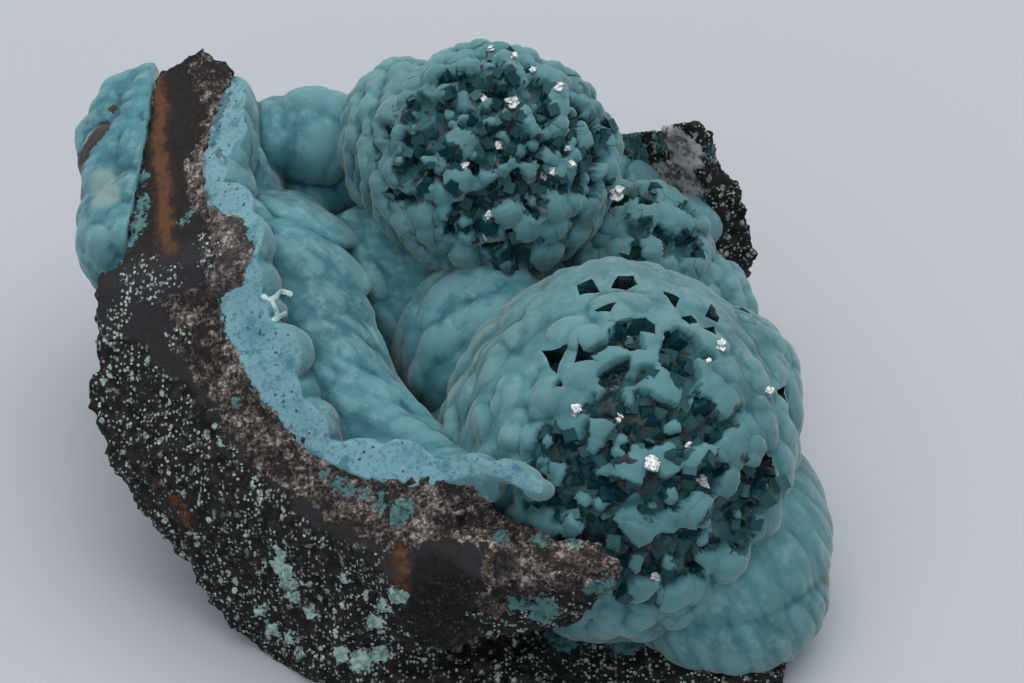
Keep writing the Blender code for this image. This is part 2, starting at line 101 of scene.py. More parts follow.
def sight(pixel):
    """The direction in which the camera sees a pixel of the photograph."""
    across = (pixel[0] - PHOTO_WIDTH / 2) / FOCAL_PIXELS
    up = -(pixel[1] - PHOTO_HEIGHT / 2) / FOCAL_PIXELS
    return (Vector((across, 0, 0)) + image_up * up - backwards).normalized()


def seen_at(point):
    """The pixel of the photograph at which the camera sees a point."""
    away = point - camera.location
    depth = -away.dot(backwards)
    across = FOCAL_PIXELS * away.x / depth
    return PHOTO_WIDTH / 2 + across, PHOTO_HEIGHT / 2 - FOCAL_PIXELS * away.dot(image_up) / depth


def land(pixel, skin):
    """Where the sight line of a pixel meets a surface, with its normal, or None twice."""
    return skin.ray_cast(camera.location, sight(pixel))[:2]


print("camera", [round(x / MM) for x in camera.location], "mm")

# %% [markdown]
# ## The floor and the light
# The specimen stands on plain pale grey. The light is an even sky, one large soft lamp above and
# behind to the right and a weak fill from the front left. So the creases between the lumps go dark,
# and the shadow falls softly to the front left.

# %% Make the floor and the lamps
FLOOR_SIZE = 3
FLOOR_COLOUR = (0.42, 0.44, 0.475)
SKY_COLOUR, SKY_STRENGTH = (0.90, 0.94, 1.0), 0.67
# Each lamp: where it is in metres, its size, its power in watts and its colour.
LAMPS = {
    "top softbox": ((0.04, 0.12, 0.58), 0.65, 2.9, (1.0, 0.98, 0.95)),
    "front fill": ((-0.30, -0.45, 0.35), 0.5, 0.5, (0.93, 0.97, 1.0)),
}

floor_mesh = bpy.data.meshes.new("floor")
half = FLOOR_SIZE / 2
corners = [(-half, -half, 0), (half, -half, 0), (half, half, 0), (-half, half, 0)]
floor_mesh.from_pydata(corners, [], [(0, 1, 2, 3)])
floor = new_object("floor", floor_mesh)
floor_material = bpy.data.materials.new("pale floor")
floor_material.use_nodes = True
floor_shader = floor_material.node_tree.nodes["Principled BSDF"]
floor_shader.inputs["Base Color"].default_value = (*FLOOR_COLOUR, 1)
floor_shader.inputs["Roughness"].default_value = 0.9
floor_mesh.materials.append(floor_material)

world = bpy.data.worlds.new("soft sky")
world.use_nodes = True
sky = world.node_tree.nodes["Background"]
sky.inputs["Color"].default_value = (*SKY_COLOUR, 1)
sky.inputs["Strength"].default_value = SKY_STRENGTH
bpy.context.scene.world = world
bpy.context.scene.view_settings.view_transform = "Standard"

for name, (where, size, power, colour) in LAMPS.items():
    lamp_data = bpy.data.lights.new(name, "AREA")
    lamp_data.size = size
    lamp_data.energy = power
    lamp_data.color = colour
    lamp = new_object(name, lamp_data)
    lamp.location = where
    aim = CAMERA_TARGET - Vector(where)
    lamp.rotation_euler = aim.to_track_quat("-Z", "Y").to_euler()
print("lamps", list(LAMPS))

# %% [markdown]
# ## Helpers for shapes
# A crust of this kind grows as balls that run into each other. The closest tool is a voxel remesh:
# overlapping ellipsoids become one skin, with a crease wherever two of them meet. The places are in
# millimetres about the valley of the hollow, and SHIFT brings them into the frame.

# %% Define the shape helpers
SHIFT = Vector((0.5, 2.7, 0.0))
# A crown or a crease is told by how far a point stands out after few rounds and after many.
FINE_ROUNDS, FINE_GAIN = 10, 1.7
BROAD_ROUNDS, BROAD_GAIN = 70, 0.7


def place(point):
    """A place in millimetres as a position in the frame."""
    return (Vector(point) + SHIFT) * MM


def along(direction):
    """The rotation that turns Z to a direction."""
    return Vector(direction).to_track_quat("Z", "Y").to_matrix().to_4x4()


def strayed(rng, reach):
    """A small random step, up to a reach each way."""
    return Vector([rng.uniform(-reach, reach) for _ in range(3)])


def add_ball(shape, where, radii, detail):
    """An ellipsoid where a matrix puts and turns it, with its radii in millimetres."""
    size = Matrix.Diagonal((*[radius * MM for radius in radii], 1))
    bmesh.ops.create_icosphere(shape, subdivisions=detail, radius=1, matrix=where @ size)


def add_ellipsoid(shape, centre, radii, turn=None, detail=4):
    turned = Matrix() if turn is None else along(turn)
    add_ball(shape, Matrix.Translation(place(centre)) @ turned, radii, detail)


def add_hull(shape, corners):
    """Add the convex block between positions in the frame."""
    block = bmesh.new()
    for corner in corners:
        block.verts.new(corner)
    hull = bmesh.ops.convex_hull(block, input=block.verts)
    spare = set(hull["geom_interior"]) | set(hull["geom_unused"])
    bmesh.ops.delete(block, geom=[v for v in spare if isinstance(v, bmesh.types.BMVert)], context="VERTS")
    bmesh.ops.recalc_face_normals(block, faces=block.faces)
    mesh = bpy.data.meshes.new("block")
    block.to_mesh(mesh)
    shape.from_mesh(mesh)
    block.free()
    bpy.data.meshes.remove(mesh)


def make_object(name, shape):
    mesh = bpy.data.meshes.new(name)
    shape.to_mesh(mesh)
    shape.free()
    return new_object(name, mesh)


def make_forms(name, forms, detail=4):
    """One object of overlapping ellipsoids."""
    shape = bmesh.new()
    for form in forms:
        add_ellipsoid(shape, *form, detail=detail)
    return make_object(name, shape)


def settle(thing):
    """Replace an object's mesh by what its modifiers make of it."""
    graph = bpy.context.evaluated_depsgraph_get()
    mesh = bpy.data.meshes.new_from_object(thing.evaluated_get(graph))
    thing.modifiers.clear()
    thing.data = mesh


def fuse(thing, voxel, smoothing):
    """Fuse overlapping shapes into one skin and take off the steps of the voxels."""
    remesh = thing.modifiers.new("fuse", "REMESH")
    remesh.mode = "VOXEL"
    remesh.voxel_size = voxel * MM
    soften = thing.modifiers.new("soften", "SMOOTH")
    soften.factor = 0.5
    soften.iterations = smoothing
    settle(thing)


def cut(thing, cutter, operation="DIFFERENCE"):
    """Cut an object at once. The cut faces take the cutter's material."""
    boolean = thing.modifiers.new("cut", "BOOLEAN")
    boolean.operation = operation
    boolean.solver = "MANIFOLD"
    boolean.object = cutter
    boolean.material_mode = "TRANSFER"
    settle(thing)


def skin_of(thing):
    """A search tree of a surface, to find where a sight line meets it."""
    return BVHTree.FromObject(thing, bpy.context.evaluated_depsgraph_get())


def reopen(thing):
    """The search tree of a first mesh, and a shape of that mesh to add to. The object goes."""
    skin = skin_of(thing)
    shape = bmesh.new()
    shape.from_mesh(thing.data)
    bpy.data.objects.remove(thing, do_unlink=True)
    return skin, shape


def dress(thing, material):
    """Give an object one material in place of those it has."""
    thing.data.materials.clear()
    thing.data.materials.append(material)


print("helpers for shapes are ready")

# %% Define how a mesh is measured


def triangles(thing):
    return sum(len(face.vertices) - 2 for face in thing.data.polygons)


def tell(thing):
    print(thing.name, triangles(thing), "triangles")


def write_attribute(thing, name, values):
    """Store one number for each point of a mesh under a name."""
    attribute = thing.data.attributes.new(name, "FLOAT", "POINT")
    attribute.data.foreach_set("value", np.asarray(values, np.float32))


def read_points(thing, kind="co"):
    """The places of a mesh's points, or their normals."""
    values = np.empty(len(thing.data.vertices) * 3, np.float32)
    thing.data.vertices.foreach_get(kind, values)
    return values.reshape(-1, 3)


def rounds_apart(thing, rounds):
    """How far each point stands out, in millimetres, after some rounds of averaging."""
    ends = np.empty(len(thing.data.edges) * 2, np.int32)
    thing.data.edges.foreach_get("vertices", ends)
    first, last = ends.reshape(-1, 2).T
    points = read_points(thing).astype(float)
    count = len(points)
    neighbours = np.bincount(first, minlength=count) + np.bincount(last, minlength=count)
    soft = points
    for _ in range(rounds):
        sides = []
        for axis in range(3):
            there = np.bincount(first, soft[last, axis], count) + np.bincount(last, soft[first, axis], count)
            sides.append(there / np.maximum(neighbours, 1))
        soft = np.stack(sides, axis=1)
    return np.einsum("ij,ij->i", points - soft, read_points(thing, "normal")) / MM


def store_crown(thing):
    """Store which points are crowns, near 1, and which lie in creases, near 0."""
    level = 0.5 + rounds_apart(thing, FINE_ROUNDS) * FINE_GAIN
    level += rounds_apart(thing, BROAD_ROUNDS) * BROAD_GAIN
    old = thing.data.attributes.get("crown")
    if old:
        thing.data.attributes.remove(old)
    write_attribute(thing, "crown", np.clip(level, 0, 1))


print("helpers for measures are ready")

# %% [markdown]
# ## Helpers for node trees
# Geometry Nodes and materials are built from the same small steps: add a node, fill or link its
# inputs, go on. These helpers keep each tree below close to a plain sentence. A modifier's inputs
# are set by the identifiers of their sockets, and the result is made a plain mesh at once.

# %% Define the node helpers


def add(tree, kind, inputs=None, **settings):
    """Add a node, set its options, and fill or link its inputs."""
    made = tree.nodes.new(kind)
    for name, value in settings.items():
        setattr(made, name, value)
    for key, value in (inputs or {}).items():
        if isinstance(value, bpy.types.NodeSocket):
            tree.links.new(value, made.inputs[key])
        else:
            made.inputs[key].default_value = value
    return made


def maths(tree, operation, *values, clamp=False):
    inputs = dict(enumerate(values))
    return add(tree, "ShaderNodeMath", inputs, operation=operation, use_clamp=clamp).outputs[0]


def chained(operation):
    """A helper that takes any number of values, two at a time."""
    def chain(tree, first, *others):
        for other in others:
            first = maths(tree, operation, first, other)
        return first
    return chain


times = chained("MULTIPLY")
plus = chained("ADD")


def vectors(tree, operation, *values):
    made = add(tree, "ShaderNodeVectorMath", dict(enumerate(values)), operation=operation)
    return made.outputs["Value" if operation == "DOT_PRODUCT" else "Vector"]


def scaled(tree, vector, factor):
    inputs = {0: vector, "Scale": factor}
    return add(tree, "ShaderNodeVectorMath", inputs, operation="SCALE").outputs["Vector"]


def ramp(tree, value, low, high, start=0.0, end=1.0, smooth=True):
    """Map a value from one range to another, softly at both ends."""
    inputs = {"Value": value, "From Min": low, "From Max": high, "To Min": start, "To Max": end}
    kind = "SMOOTHSTEP" if smooth else "LINEAR"
    return add(tree, "ShaderNodeMapRange", inputs, interpolation_type=kind).outputs["Result"]


def blend(tree, factor, first, second):
    """Mix two colours."""
    inputs = {0: factor, 6: first, 7: second}
    return add(tree, "ShaderNodeMix", inputs, data_type="RGBA").outputs[2]


def cloud(tree, where, grain, detail=4.0, roughness=0.55):
    """Cloudy noise whose grain is given in millimetres."""
    inputs = {"Vector": where, "Scale": 1 / (grain * MM), "Detail": detail, "Roughness": roughness}
    return add(tree, "ShaderNodeTexNoise", inputs).outputs["Fac"]


def drift(tree, where, grain, reach):
    """A smooth stray in every direction, with its grain in millimetres."""
    inputs = {"Vector": where, "Scale": 1 / (grain * MM), "Detail": 2.0}
    noisy = add(tree, "ShaderNodeTexNoise", inputs).outputs["Color"]
    return scaled(tree, vectors(tree, "SUBTRACT", noisy, (0.5, 0.5, 0.5)), reach)


def cells_of(tree, where, size, kind="F1", **inputs):
    """Voronoi cells of a size, which is a socket in metres or a number in millimetres."""
    if isinstance(size, bpy.types.NodeSocket):
        scale = maths(tree, "DIVIDE", 1, size)
    else:
        scale = 1 / (size * MM)
    inputs = {"Vector": where, "Scale": scale, **inputs}
    return add(tree, "ShaderNodeTexVoronoi", inputs, feature=kind).outputs


print("helpers for materials are ready")

# %% Define the helpers for Geometry Nodes


def read_mark(tree, name):
    """A stored attribute of the mesh, for a Geometry Nodes tree."""
    return add(tree, "GeometryNodeInputNamedAttribute", {"Name": name}, data_type="FLOAT").outputs[0]


def store_mark(tree, geometry, name, value, domain="POINT"):
    inputs = {"Geometry": geometry, "Name": name, "Value": value}
    kind = "GeometryNodeStoreNamedAttribute"
    return add(tree, kind, inputs, data_type="FLOAT", domain=domain).outputs[0]


def raise_skin(tree, geometry, height):
    """Move a surface along its normals."""
    normal = add(tree, "GeometryNodeInputNormal").outputs[0]
    inputs = {"Geometry": geometry, "Offset": scaled(tree, normal, height)}
    return add(tree, "GeometryNodeSetPosition", inputs).outputs[0]


def new_tree(name, sockets):
    """A Geometry Nodes tree with named inputs, and the sockets that they arrive at."""
    tree = bpy.data.node_groups.new(name, "GeometryNodeTree")
    tree.interface.new_socket("Geometry", in_out="INPUT", socket_type="NodeSocketGeometry")
    for label, kind in sockets.items():
        tree.interface.new_socket(label, in_out="INPUT", socket_type="NodeSocket" + kind)
    tree.interface.new_socket("Geometry", in_out="OUTPUT", socket_type="NodeSocketGeometry")
    return tree, tree.nodes.new("NodeGroupInput").outputs


def run_tree(thing, tree, values):
    """Run a tree on an object with the given inputs, and keep the result as its mesh."""
    modifier = thing.modifiers.new(tree.name, "NODES")
    modifier.node_group = tree
    for item in tree.interface.items_tree:
        if item.in_out == "INPUT" and item.name in values:
            modifier[item.identifier] = values[item.name]
    settle(thing)


print("helpers for Geometry Nodes are ready")

# %% [markdown]
# ## The hollow and the two breaks
# The rock was split along two flat fractures, which cut the rock and the crust alike. What they
# leave of the crust is the pale flat lip round the hollow. The hollow itself is a few bowls and
# two blocks where it is open. Both are needed here as cutters, to bound the crust.

# %% Make the cutters
HOLLOW_BOWLS = [
    ((3, 2, 31), (28.5, 32, 26)),
    ((-8, 10.5, 36), (18.8, 20.5, 28)),
    ((19, -13.5, 21), (21.7, 22.2, 16.5)),
    ((19, -13.5, 34), (21.7, 22.2, 24)),
    ((6, 12, 34), (20, 17.5, 30)),
    ((22, 9, 26), (13, 11, 20)),
]
HOLLOW_BLOCKS = [
    [
        (30, -46, 3.5), (46, -46, 3.5), (48, -8, 4), (42, 6, 8), (30, 8, 10), (31, -46, 50),
        (52, -46, 50), (48, 10, 50), (28, 10, 50), (9, -40, 3.5), (12, -40, 11), (8, -28, 4),
        (12, -20, 4), (29.5, -41, 16),
    ],
    [
        (33.5, -32, 1.2), (50, -36, 1.2), (50, 0, 1.2), (34.5, -2, 1.2), (33.5, -32, 20),
        (50, -36, 20), (50, 0, 20), (34.5, -2, 20),
    ],
]
HOLLOW_VOXEL, HOLLOW_SMOOTHING = 1.2, 20
# The crust grows tight against the rock, so its visible skin reaches a little into the rock.
GAP, OVERREACH = 0.35, 0.2
# Each break: the way it faces, how far it is from the valley, and its size each way.
BREAKS = {
    "upper break": (Vector((-0.432, -0.196, 0.88)).normalized(), 42.8),
    "lower break": (Vector((-0.393, -0.608, 0.69)).normalized(), 36.8),
}
BREAK_REACH = 60
BREAK_CELL = 0.75
# The relief of a break: the size of each wave in millimetres and how far it rises.
BREAK_WAVES = ((8.3, 0.6), (2.4, 0.16), (0.9, 0.09))


def make_hollow():
    shape = bmesh.new()
    for centre, radii in HOLLOW_BOWLS:
        add_ellipsoid(shape, centre, radii)
    for corners in HOLLOW_BLOCKS:
        add_hull(shape, [place(corner) for corner in corners])
    hollow = make_object("hollow", shape)
    fuse(hollow, HOLLOW_VOXEL, HOLLOW_SMOOTHING)
    outward = hollow.modifiers.new("reach out", "DISPLACE")
    outward.strength = OVERREACH * MM
    outward.mid_level = 0
    settle(hollow)
    return hollow


def make_break(name, normal, distance, material):
    """The space above a break, with the break's shallow relief on its lower side."""
    shape = bmesh.new()
    cells = round(2 * BREAK_REACH / BREAK_CELL)
    bmesh.ops.create_grid(shape, x_segments=cells, y_segments=cells, size=BREAK_REACH * MM)
    for corner in shape.verts:
        if not corner.is_boundary:
            waves = [height * noise.noise(corner.co / (grain * MM)) for grain, height in BREAK_WAVES]
            corner.co.z += sum(waves) * MM
    skin = bmesh.ops.extrude_face_region(shape, geom=shape.faces[:])
    raised = [item for item in skin["geom"] if isinstance(item, bmesh.types.BMVert)]
    for corner in raised:
        corner.co.z = BREAK_REACH * MM
    bmesh.ops.recalc_face_normals(shape, faces=shape.faces)
    shape.transform(Matrix.Translation(place(normal * distance)) @ along(normal))
    cutter = make_object(name, shape)
    cutter.data.materials.append(material)
    return cutter


lip_material = bpy.data.materials.new("fresh break of the crust")
hollow = make_hollow()
breaks = [make_break(name, *values, lip_material) for name, values in BREAKS.items()]
# A block whose top is just over the floor cuts the crust flat there.
GROUND, GROUND_TOP = 200, 0.05
ground_shape = bmesh.new()
ground_at = Matrix.Translation((0, 0, (GROUND_TOP - GROUND / 2) * MM))
bmesh.ops.create_cube(ground_shape, size=GROUND * MM, matrix=ground_at)
ground = make_object("ground", ground_shape)
cutters = [hollow, ground, *breaks]
print("cutters", {cutter.name: triangles(cutter) for cutter in cutters})

# %% [markdown]
# ## The surface of the crust
# Up close the crust is a carpet of small lumps. On flat tops they are round and faint, and on the
# flanks they are drawn out down the slope. A Voronoi texture gives every cell its own centre, and
# one minus the square of the distance to it is a rounded lump with a crisp crease round it. Cutting
# the distance along a flow direction draws the lumps out that way.

# %% Build the relief tree
WARP_GRAIN = 5.0
LUMP_FALL = 1.5


def lumps(tree, where, size):
    """Rounded lumps of a size, from 0 in the creases to 1 on the crowns."""
    distance = cells_of(tree, where, size)["Distance"]
    return maths(tree, "SUBTRACT", 1, times(tree, distance, distance, LUMP_FALL), clamp=True)


def make_relief_tree():
    tree, given = new_tree("botryoidal relief", {
        "Lump": "Float", "Lump height": "Float", "Bead": "Float", "Bead height": "Float",
        "Flow": "Vector", "Draw out": "Float", "Wander": "Float", "Top share": "Float",
    })
    where = add(tree, "GeometryNodeInputPosition").outputs[0]
    distance = vectors(tree, "DOT_PRODUCT", where, given["Flow"])
    taken = scaled(tree, given["Flow"], times(tree, distance, given["Draw out"]))
    drawn = vectors(tree, "SUBTRACT", where, taken)
    drawn = vectors(tree, "ADD", drawn, drift(tree, drawn, WARP_GRAIN, given["Wander"]))
    large = lumps(tree, drawn, given["Lump"])
    small = lumps(tree, drawn, given["Bead"])
    normal = add(tree, "GeometryNodeInputNormal").outputs[0]
    level = vectors(tree, "DOT_PRODUCT", normal, (0, 0, 1))
    share = ramp(tree, level, 0.35, 0.95, 1.0, given["Top share"])
    height = times(tree, large, given["Lump height"])
    height = plus(tree, height, times(tree, small, given["Bead height"]))
    moved = raise_skin(tree, given["Geometry"], times(tree, height, share))
    crown = plus(tree, times(tree, large, 0.7), times(tree, small, 0.3))
    add(tree, "NodeGroupOutput", {0: store_mark(tree, moved, "crown", crown)})
    return tree


relief_tree = make_relief_tree()
print("relief tree", len(relief_tree.nodes), "nodes")

# %% [markdown]
# ## The finish of the crust
# Chrysocolla is satin rather than glossy, a muted teal with chalky patches. The colour reads the
# crown attribute that the relief left: the creases get painted shade in deep teal, and the crowns
# are paler in patches, partly chalk and partly painted highlight, with a painted highlight on the
# rims. A little sheen lights the rims as well, as the fine velvet of the real surface does.

# %% Define what a crust's material is made of
# Colours as linear light: deep teal, also the painted shade of the creases; plain teal; chalky
# grey-teal, also the painted highlight of the crowns.
LINING_COLOURS = ((0.016, 0.090, 0.116), (0.045, 0.188, 0.226), (0.158, 0.325, 0.345))
DOME_COLOURS = ((0.021, 0.094, 0.106), (0.059, 0.194, 0.213), (0.158, 0.300, 0.308))
LIP_COLOURS = ((0.042, 0.160, 0.205), (0.088, 0.255, 0.310), (0.210, 0.380, 0.420))
LIP_SPECK = (0.018, 0.060, 0.085)


def start_material(name, material=None):
    """A material, its tree, its main shader and the object's own coordinates."""
    material = material or bpy.data.materials.new(name)
    material.use_nodes = True
    tree = material.node_tree
    shader = tree.nodes["Principled BSDF"]
    return material, tree, shader, add(tree, "ShaderNodeTexCoord").outputs["Object"]


def stored(tree, name):
    """The value of a named attribute of the mesh."""
    return add(tree, "ShaderNodeAttribute", attribute_name=name).outputs["Fac"]


def set_inputs(shader, values):
    """Set constants on the shader's own sockets."""
    for name, value in values.items():
        shader.inputs[name].default_value = value


def link_bump(tree, shader, height, strength, distance):
    inputs = {"Height": height, "Strength": strength, "Distance": distance * MM}
    bump = add(tree, "ShaderNodeBump", inputs)
    tree.links.new(bump.outputs[0], shader.inputs["Normal"])


def colour(values):
    return (*values, 1)


def tinted(tree, share, first, second):
    """A mix of two plain colours."""
    return blend(tree, share, colour(first), colour(second))


def make_turquoise(name, colours, chalk, material=None, roughened=0.14):
    """A satin crust: painted shade deepens the creases; the crowns are chalky in soft patches, partly as
    painted highlight, and their rims get a painted highlight.
    """
    deep, plain, pale = [colour(values) for values in colours]
    material, tree, shader, where = start_material(name, material)
    crown = stored(tree, "crown")
    broad = cloud(tree, where, 9.0)
    patch = cloud(tree, where, 2.2, 5.0, 0.65)
    grain = cloud(tree, where, 0.28, 3.0, 0.7)
    base = blend(tree, ramp(tree, broad, 0.38, 0.64, 0.0, 0.75), plain, deep)
    # Painted shade: where the crown attribute is low, in the creases, the colour goes deep teal.
    base = blend(tree, ramp(tree, crown, 0.12, 0.5), deep, base)
    # Crowns paler in patches, partly chalk and partly painted highlight; the rims get a painted highlight of
    # their own, and fine pale specks are added.
    chalk_and_painted_highlight = times(tree, ramp(tree, patch, 0.40, 0.70), ramp(tree, crown, 0.3, 0.8), chalk)
    painted_rim_highlight = ramp(tree, crown, 0.62, 0.95, 0.0, 0.5)
    specks = ramp(tree, grain, 0.50, 0.75, 0.0, 0.22)
    chalk_and_painted_highlight = maths(tree, "ADD", maths(tree, "MAXIMUM", chalk_and_painted_highlight, painted_rim_highlight), specks, clamp=True)
    chalk_and_painted_highlight = times(tree, chalk_and_painted_highlight, ramp(tree, stored(tree, "face"), 0, 1, 1.0, 0.4))
    base = blend(tree, chalk_and_painted_highlight, base, pale)
    tree.links.new(base, shader.inputs["Base Color"])
    tree.links.new(ramp(tree, patch, 0.3, 0.7, 0.58, 0.78), shader.inputs["Roughness"])
    set_inputs(shader, {"Sheen Weight": 0.35, "Sheen Roughness": 0.4, "Specular IOR Level": 0.3})
    link_bump(tree, shader, grain, 0.45, roughened)
    return material


def grains(tree, where, size, share):
    """Separate rough grains: 1 in the hearts of a share of the cells of a size."""
    stray = drift(tree, where, size / 3, 0.7 * size * MM)
    cells = cells_of(tree, vectors(tree, "ADD", where, stray), size)
    value = add(tree, "ShaderNodeSeparateColor", {0: cells["Color"]}).outputs[0]
    heart = ramp(tree, cells["Distance"], 0.5, 0.32)
    return times(tree, ramp(tree, value, share, share - 0.03), heart)


def marked(tree, name, where, grain=0.8, ragged=0.4):
    """Where a mark's field is over one half, with an edge that noise makes ragged."""
    stray = times(tree, maths(tree, "SUBTRACT", cloud(tree, where, grain, 5.0, 0.7), 0.5), ragged)
    return ramp(tree, plus(tree, stored(tree, name), stray), 0.48, 0.52)


def paint_over(material, make_share, tint):
    """Lay another colour over a material, where a share made for its own tree says.
    The colour is a plain one, or is made for that tree too."""
    tree = material.node_tree
    shader = tree.nodes["Principled BSDF"]
    where = add(tree, "ShaderNodeTexCoord").outputs["Object"]
    skin = shader.inputs["Base Color"].links[0].from_socket
    over = tint(tree, where) if callable(tint) else colour(tint)
    painted = blend(tree, make_share(tree, where), skin, over)
    tree.links.new(painted, shader.inputs["Base Color"])


def add_spots(material, grain, limits, tint, share=1.0):
    """Spots all over a crust, where cloudy noise is between two limits."""
    def spots(tree, where):
        return ramp(tree, cloud(tree, where, grain, 5.0, 0.65), *limits, 0.0, share)
    paint_over(material, spots, tint)


print("colours chosen", len(LINING_COLOURS + DOME_COLOURS + LIP_COLOURS))

# %% Build the turquoise materials
lining_material = make_turquoise("lining", LINING_COLOURS, 0.9)
dome_material = make_turquoise("domes", DOME_COLOURS, 0.8)
make_turquoise("fresh break of the crust", LIP_COLOURS, 0.6, lip_material, 0.4)
add_spots(lip_material, 0.8, (0.585, 0.66), LIP_SPECK, 0.7)
add_spots(lip_material, 0.5, (0.50, 0.64), LIP_COLOURS[0], 0.7)
add_spots(lip_material, 0.4, (0.56, 0.68), LIP_COLOURS[2], 0.6)
paint_over(lip_material, lambda tree, where: grains(tree, where, 0.45, 0.09), LIP_SPECK)
add_spots(lip_material, 2.4, (0.52, 0.66), LIP_COLOURS[0], 0.9)
print("materials", [m.name for m in (lining_material, dome_material, lip_material)])

# %% [markdown]
# ## The lining
# The lining swells into one long mass that runs down the wall into the valley, and long soft folds
# lie over it like scales. The mass is swept: forms are blended one into the next, so that no form
# shows as a ball. Each fold is listed at the pixel where the photograph shows it, and it
# is laid flat on the mass there.

# %% Define how a mass is swept and how a fold is laid on it
# Each form of the mass, from its high end to the front: centre and radii.
LINING_SWELL = [
    ((-19.0, 11, 23), (6.5, 7, 8)),
    ((-18.6, 6, 24), (7.5, 7, 9.5)),
    ((-17.5, 1, 24), (8, 7, 9.5)),
    ((-15.5, -4.5, 21.5), (8.3, 7.2, 9.3)),
    ((-12.5, -10.5, 18.5), (8.3, 7.2, 9)),
    ((-8, -16.5, 16), (8.3, 8, 9)),
    ((-2, -21, 15.5), (8, 6, 8)),
    ((3, -24.5, 17), (8, 4, 8)),
]
SWELL_STEPS = 7
LINING_VALLEY = {
    "valley floor": ((0, 0, 8), (20, 24, 6)),
    "under the back dome": ((-8, 9, 20), (9, 9, 10)),
}
# Each fold: the pixel of its middle, its length and width in millimetres, and its turn in the
# picture in degrees, from level to hanging down.
LINING_LAID_FOLDS = [
    ((310, 212), 9.5, 7.0, 42), ((326, 250), 10.0, 4.4, 40), ((338, 284), 9.5, 4.2, 46),
    ((304, 300), 7.0, 6.0, 35), ((352, 308), 8.0, 3.4, 52), ((334, 343), 7.0, 3.8, 28),
    ((366, 360), 6.0, 3.2, 38), ((360, 384), 7.5, 3.4, 30), ((397, 348), 7.0, 2.8, 52),
    ((392, 388), 6.5, 3.0, 38), ((362, 262), 7.0, 2.4, 62), ((385, 320), 6.0, 2.2, 62),
    ((415, 408), 5.0, 3.0, 45), ((345, 398), 6.0, 3.2, 38), ((376, 412), 6.5, 3.2, 28),
    ((300, 254), 6.5, 4.4, 50), ((320, 326), 5.5, 3.4, 34), ((405, 428), 5.5, 3.0, 22),
    ((286, 232), 5.5, 3.2, 60), ((350, 224), 5.5, 2.4, 66), ((318, 374), 5.0, 3.0, 44),
    ((430, 440), 4.5, 2.6, 12), ((372, 336), 5.0, 2.6, 54), ((408, 372), 5.0, 2.2, 58),
    ((312, 262), 8.0, 1.5, 36), ((332, 270), 7.0, 1.4, 44), ((350, 294), 8.0, 1.5, 46),
    ((318, 284), 7.0, 1.4, 30), ((345, 320), 7.0, 1.5, 40), ((367, 332), 7.0, 1.4, 50),
    ((328, 312), 6.5, 1.5, 34), ((352, 352), 7.0, 1.5, 36), ((379, 374), 6.0, 1.4, 40),
    ((340, 366), 6.0, 1.5, 32), ((362, 400), 6.0, 1.5, 30), ((390, 410), 5.0, 1.4, 26),
    ((330, 200), 6.0, 1.4, 38), ((296, 240), 6.0, 1.4, 44),
]
FOLD_HEIGHT, FOLD_SUNK, FOLD_TILT = 1.6, 1.0, 6
FOLD_SPREAD = 1.3


def swept(forms, steps):
    """Forms blended one into the next, so that together they make one smooth swell."""
    for (first, first_radii), (last, last_radii) in zip(forms, forms[1:]):
        for step in range(steps):
            share = step / steps
            radii = [a + (b - a) * share for a, b in zip(first_radii, last_radii)]
            yield Vector(first).lerp(Vector(last), share), radii
    yield forms[-1]


def frame_on(point, normal, turn, tilt=0):
    """A frame laid on a surface: X runs at a turn of the picture's level line, Z stands out.
    A tilt lifts the end that X points to."""
    angle = math.radians(turn)
    run = Vector((math.cos(angle), 0, 0)) - image_up * math.sin(angle)
    run = (run - normal * run.dot(normal)).normalized()
    turned = Matrix((run, normal.cross(run), normal)).transposed().to_4x4()
    return Matrix.Translation(point) @ turned @ Matrix.Rotation(-math.radians(tilt), 4, "Y")


def add_laid_form(shape, skin, pixel, length, width, height, sunk, turn, tilt=0):
    """A flat ellipsoid laid where the sight line of a pixel meets a surface."""
    point, normal = land(pixel, skin)
    if point is None:
        return
    where = frame_on(point - normal * sunk * MM, normal, turn, tilt)
    add_ball(shape, where, (length / 2, width / 2, height), 4)


print("folds chosen", len(LINING_LAID_FOLDS))

# %% [markdown]
# ## The lip
# Where the breaks cut the lining, its edge shows as a pale band round the hollow with a scalloped
# inner edge. The band is a row of upright lumps along the line where a break meets the wall of the
# hollow, and the breaks cut them flat. Their reach into the hollow is the width of the band. Past
# the last rock the band runs on as a short thin tongue.

# %% Define the row of the lip
# The width of the lip in millimetres, against the row of the photograph where it is seen.
LIP_ROWS = (60, 150, 200, 228, 260, 290, 345, 390, 440, 470, 500)
LIP_WIDTHS = (1.2, 1.6, 2.0, 4.8, 6.4, 6.4, 5.8, 5.0, 3.6, 2.6, 1.8)
LIP_SPACING = 3.4
LIP_TALL, LIP_LONG, LIP_SUNK = 5.5, 3.0, 1.5
LIP_END_COLUMN = 556
LIP_FIRST_ROW = 92
WALL_FIRST_ROW, FIN_COLUMN = 165, 225
ROCK_BEHIND = 1.6
# Past the last rock the lip goes on as a tongue, chosen by pixel.
LIP_END = [(490, 473), (501, 470), (512, 472), (521, 478), (532, 489)]
LIP_END_RADII = (1.1, 1.0, 3.0)
solid_rock = skin_of(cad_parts["matrix_rock"])


def lip_width(point):
    """The width of the lip at a place in millimetres."""
    return float(np.interp(seen_at(place(point))[1], LIP_ROWS, LIP_WIDTHS))


def has_rock(point):
    """Whether the rock is close behind a place in millimetres."""
    return solid_rock.find_nearest(place(point))[3] < ROCK_BEHIND * MM


def above_breaks(point):
    """How far a place in millimetres lies above the nearer break, and that break's normal."""
    return max(((Vector(point).dot(n) - d, n) for n, d in BREAKS.values()), key=lambda pair: pair[0])


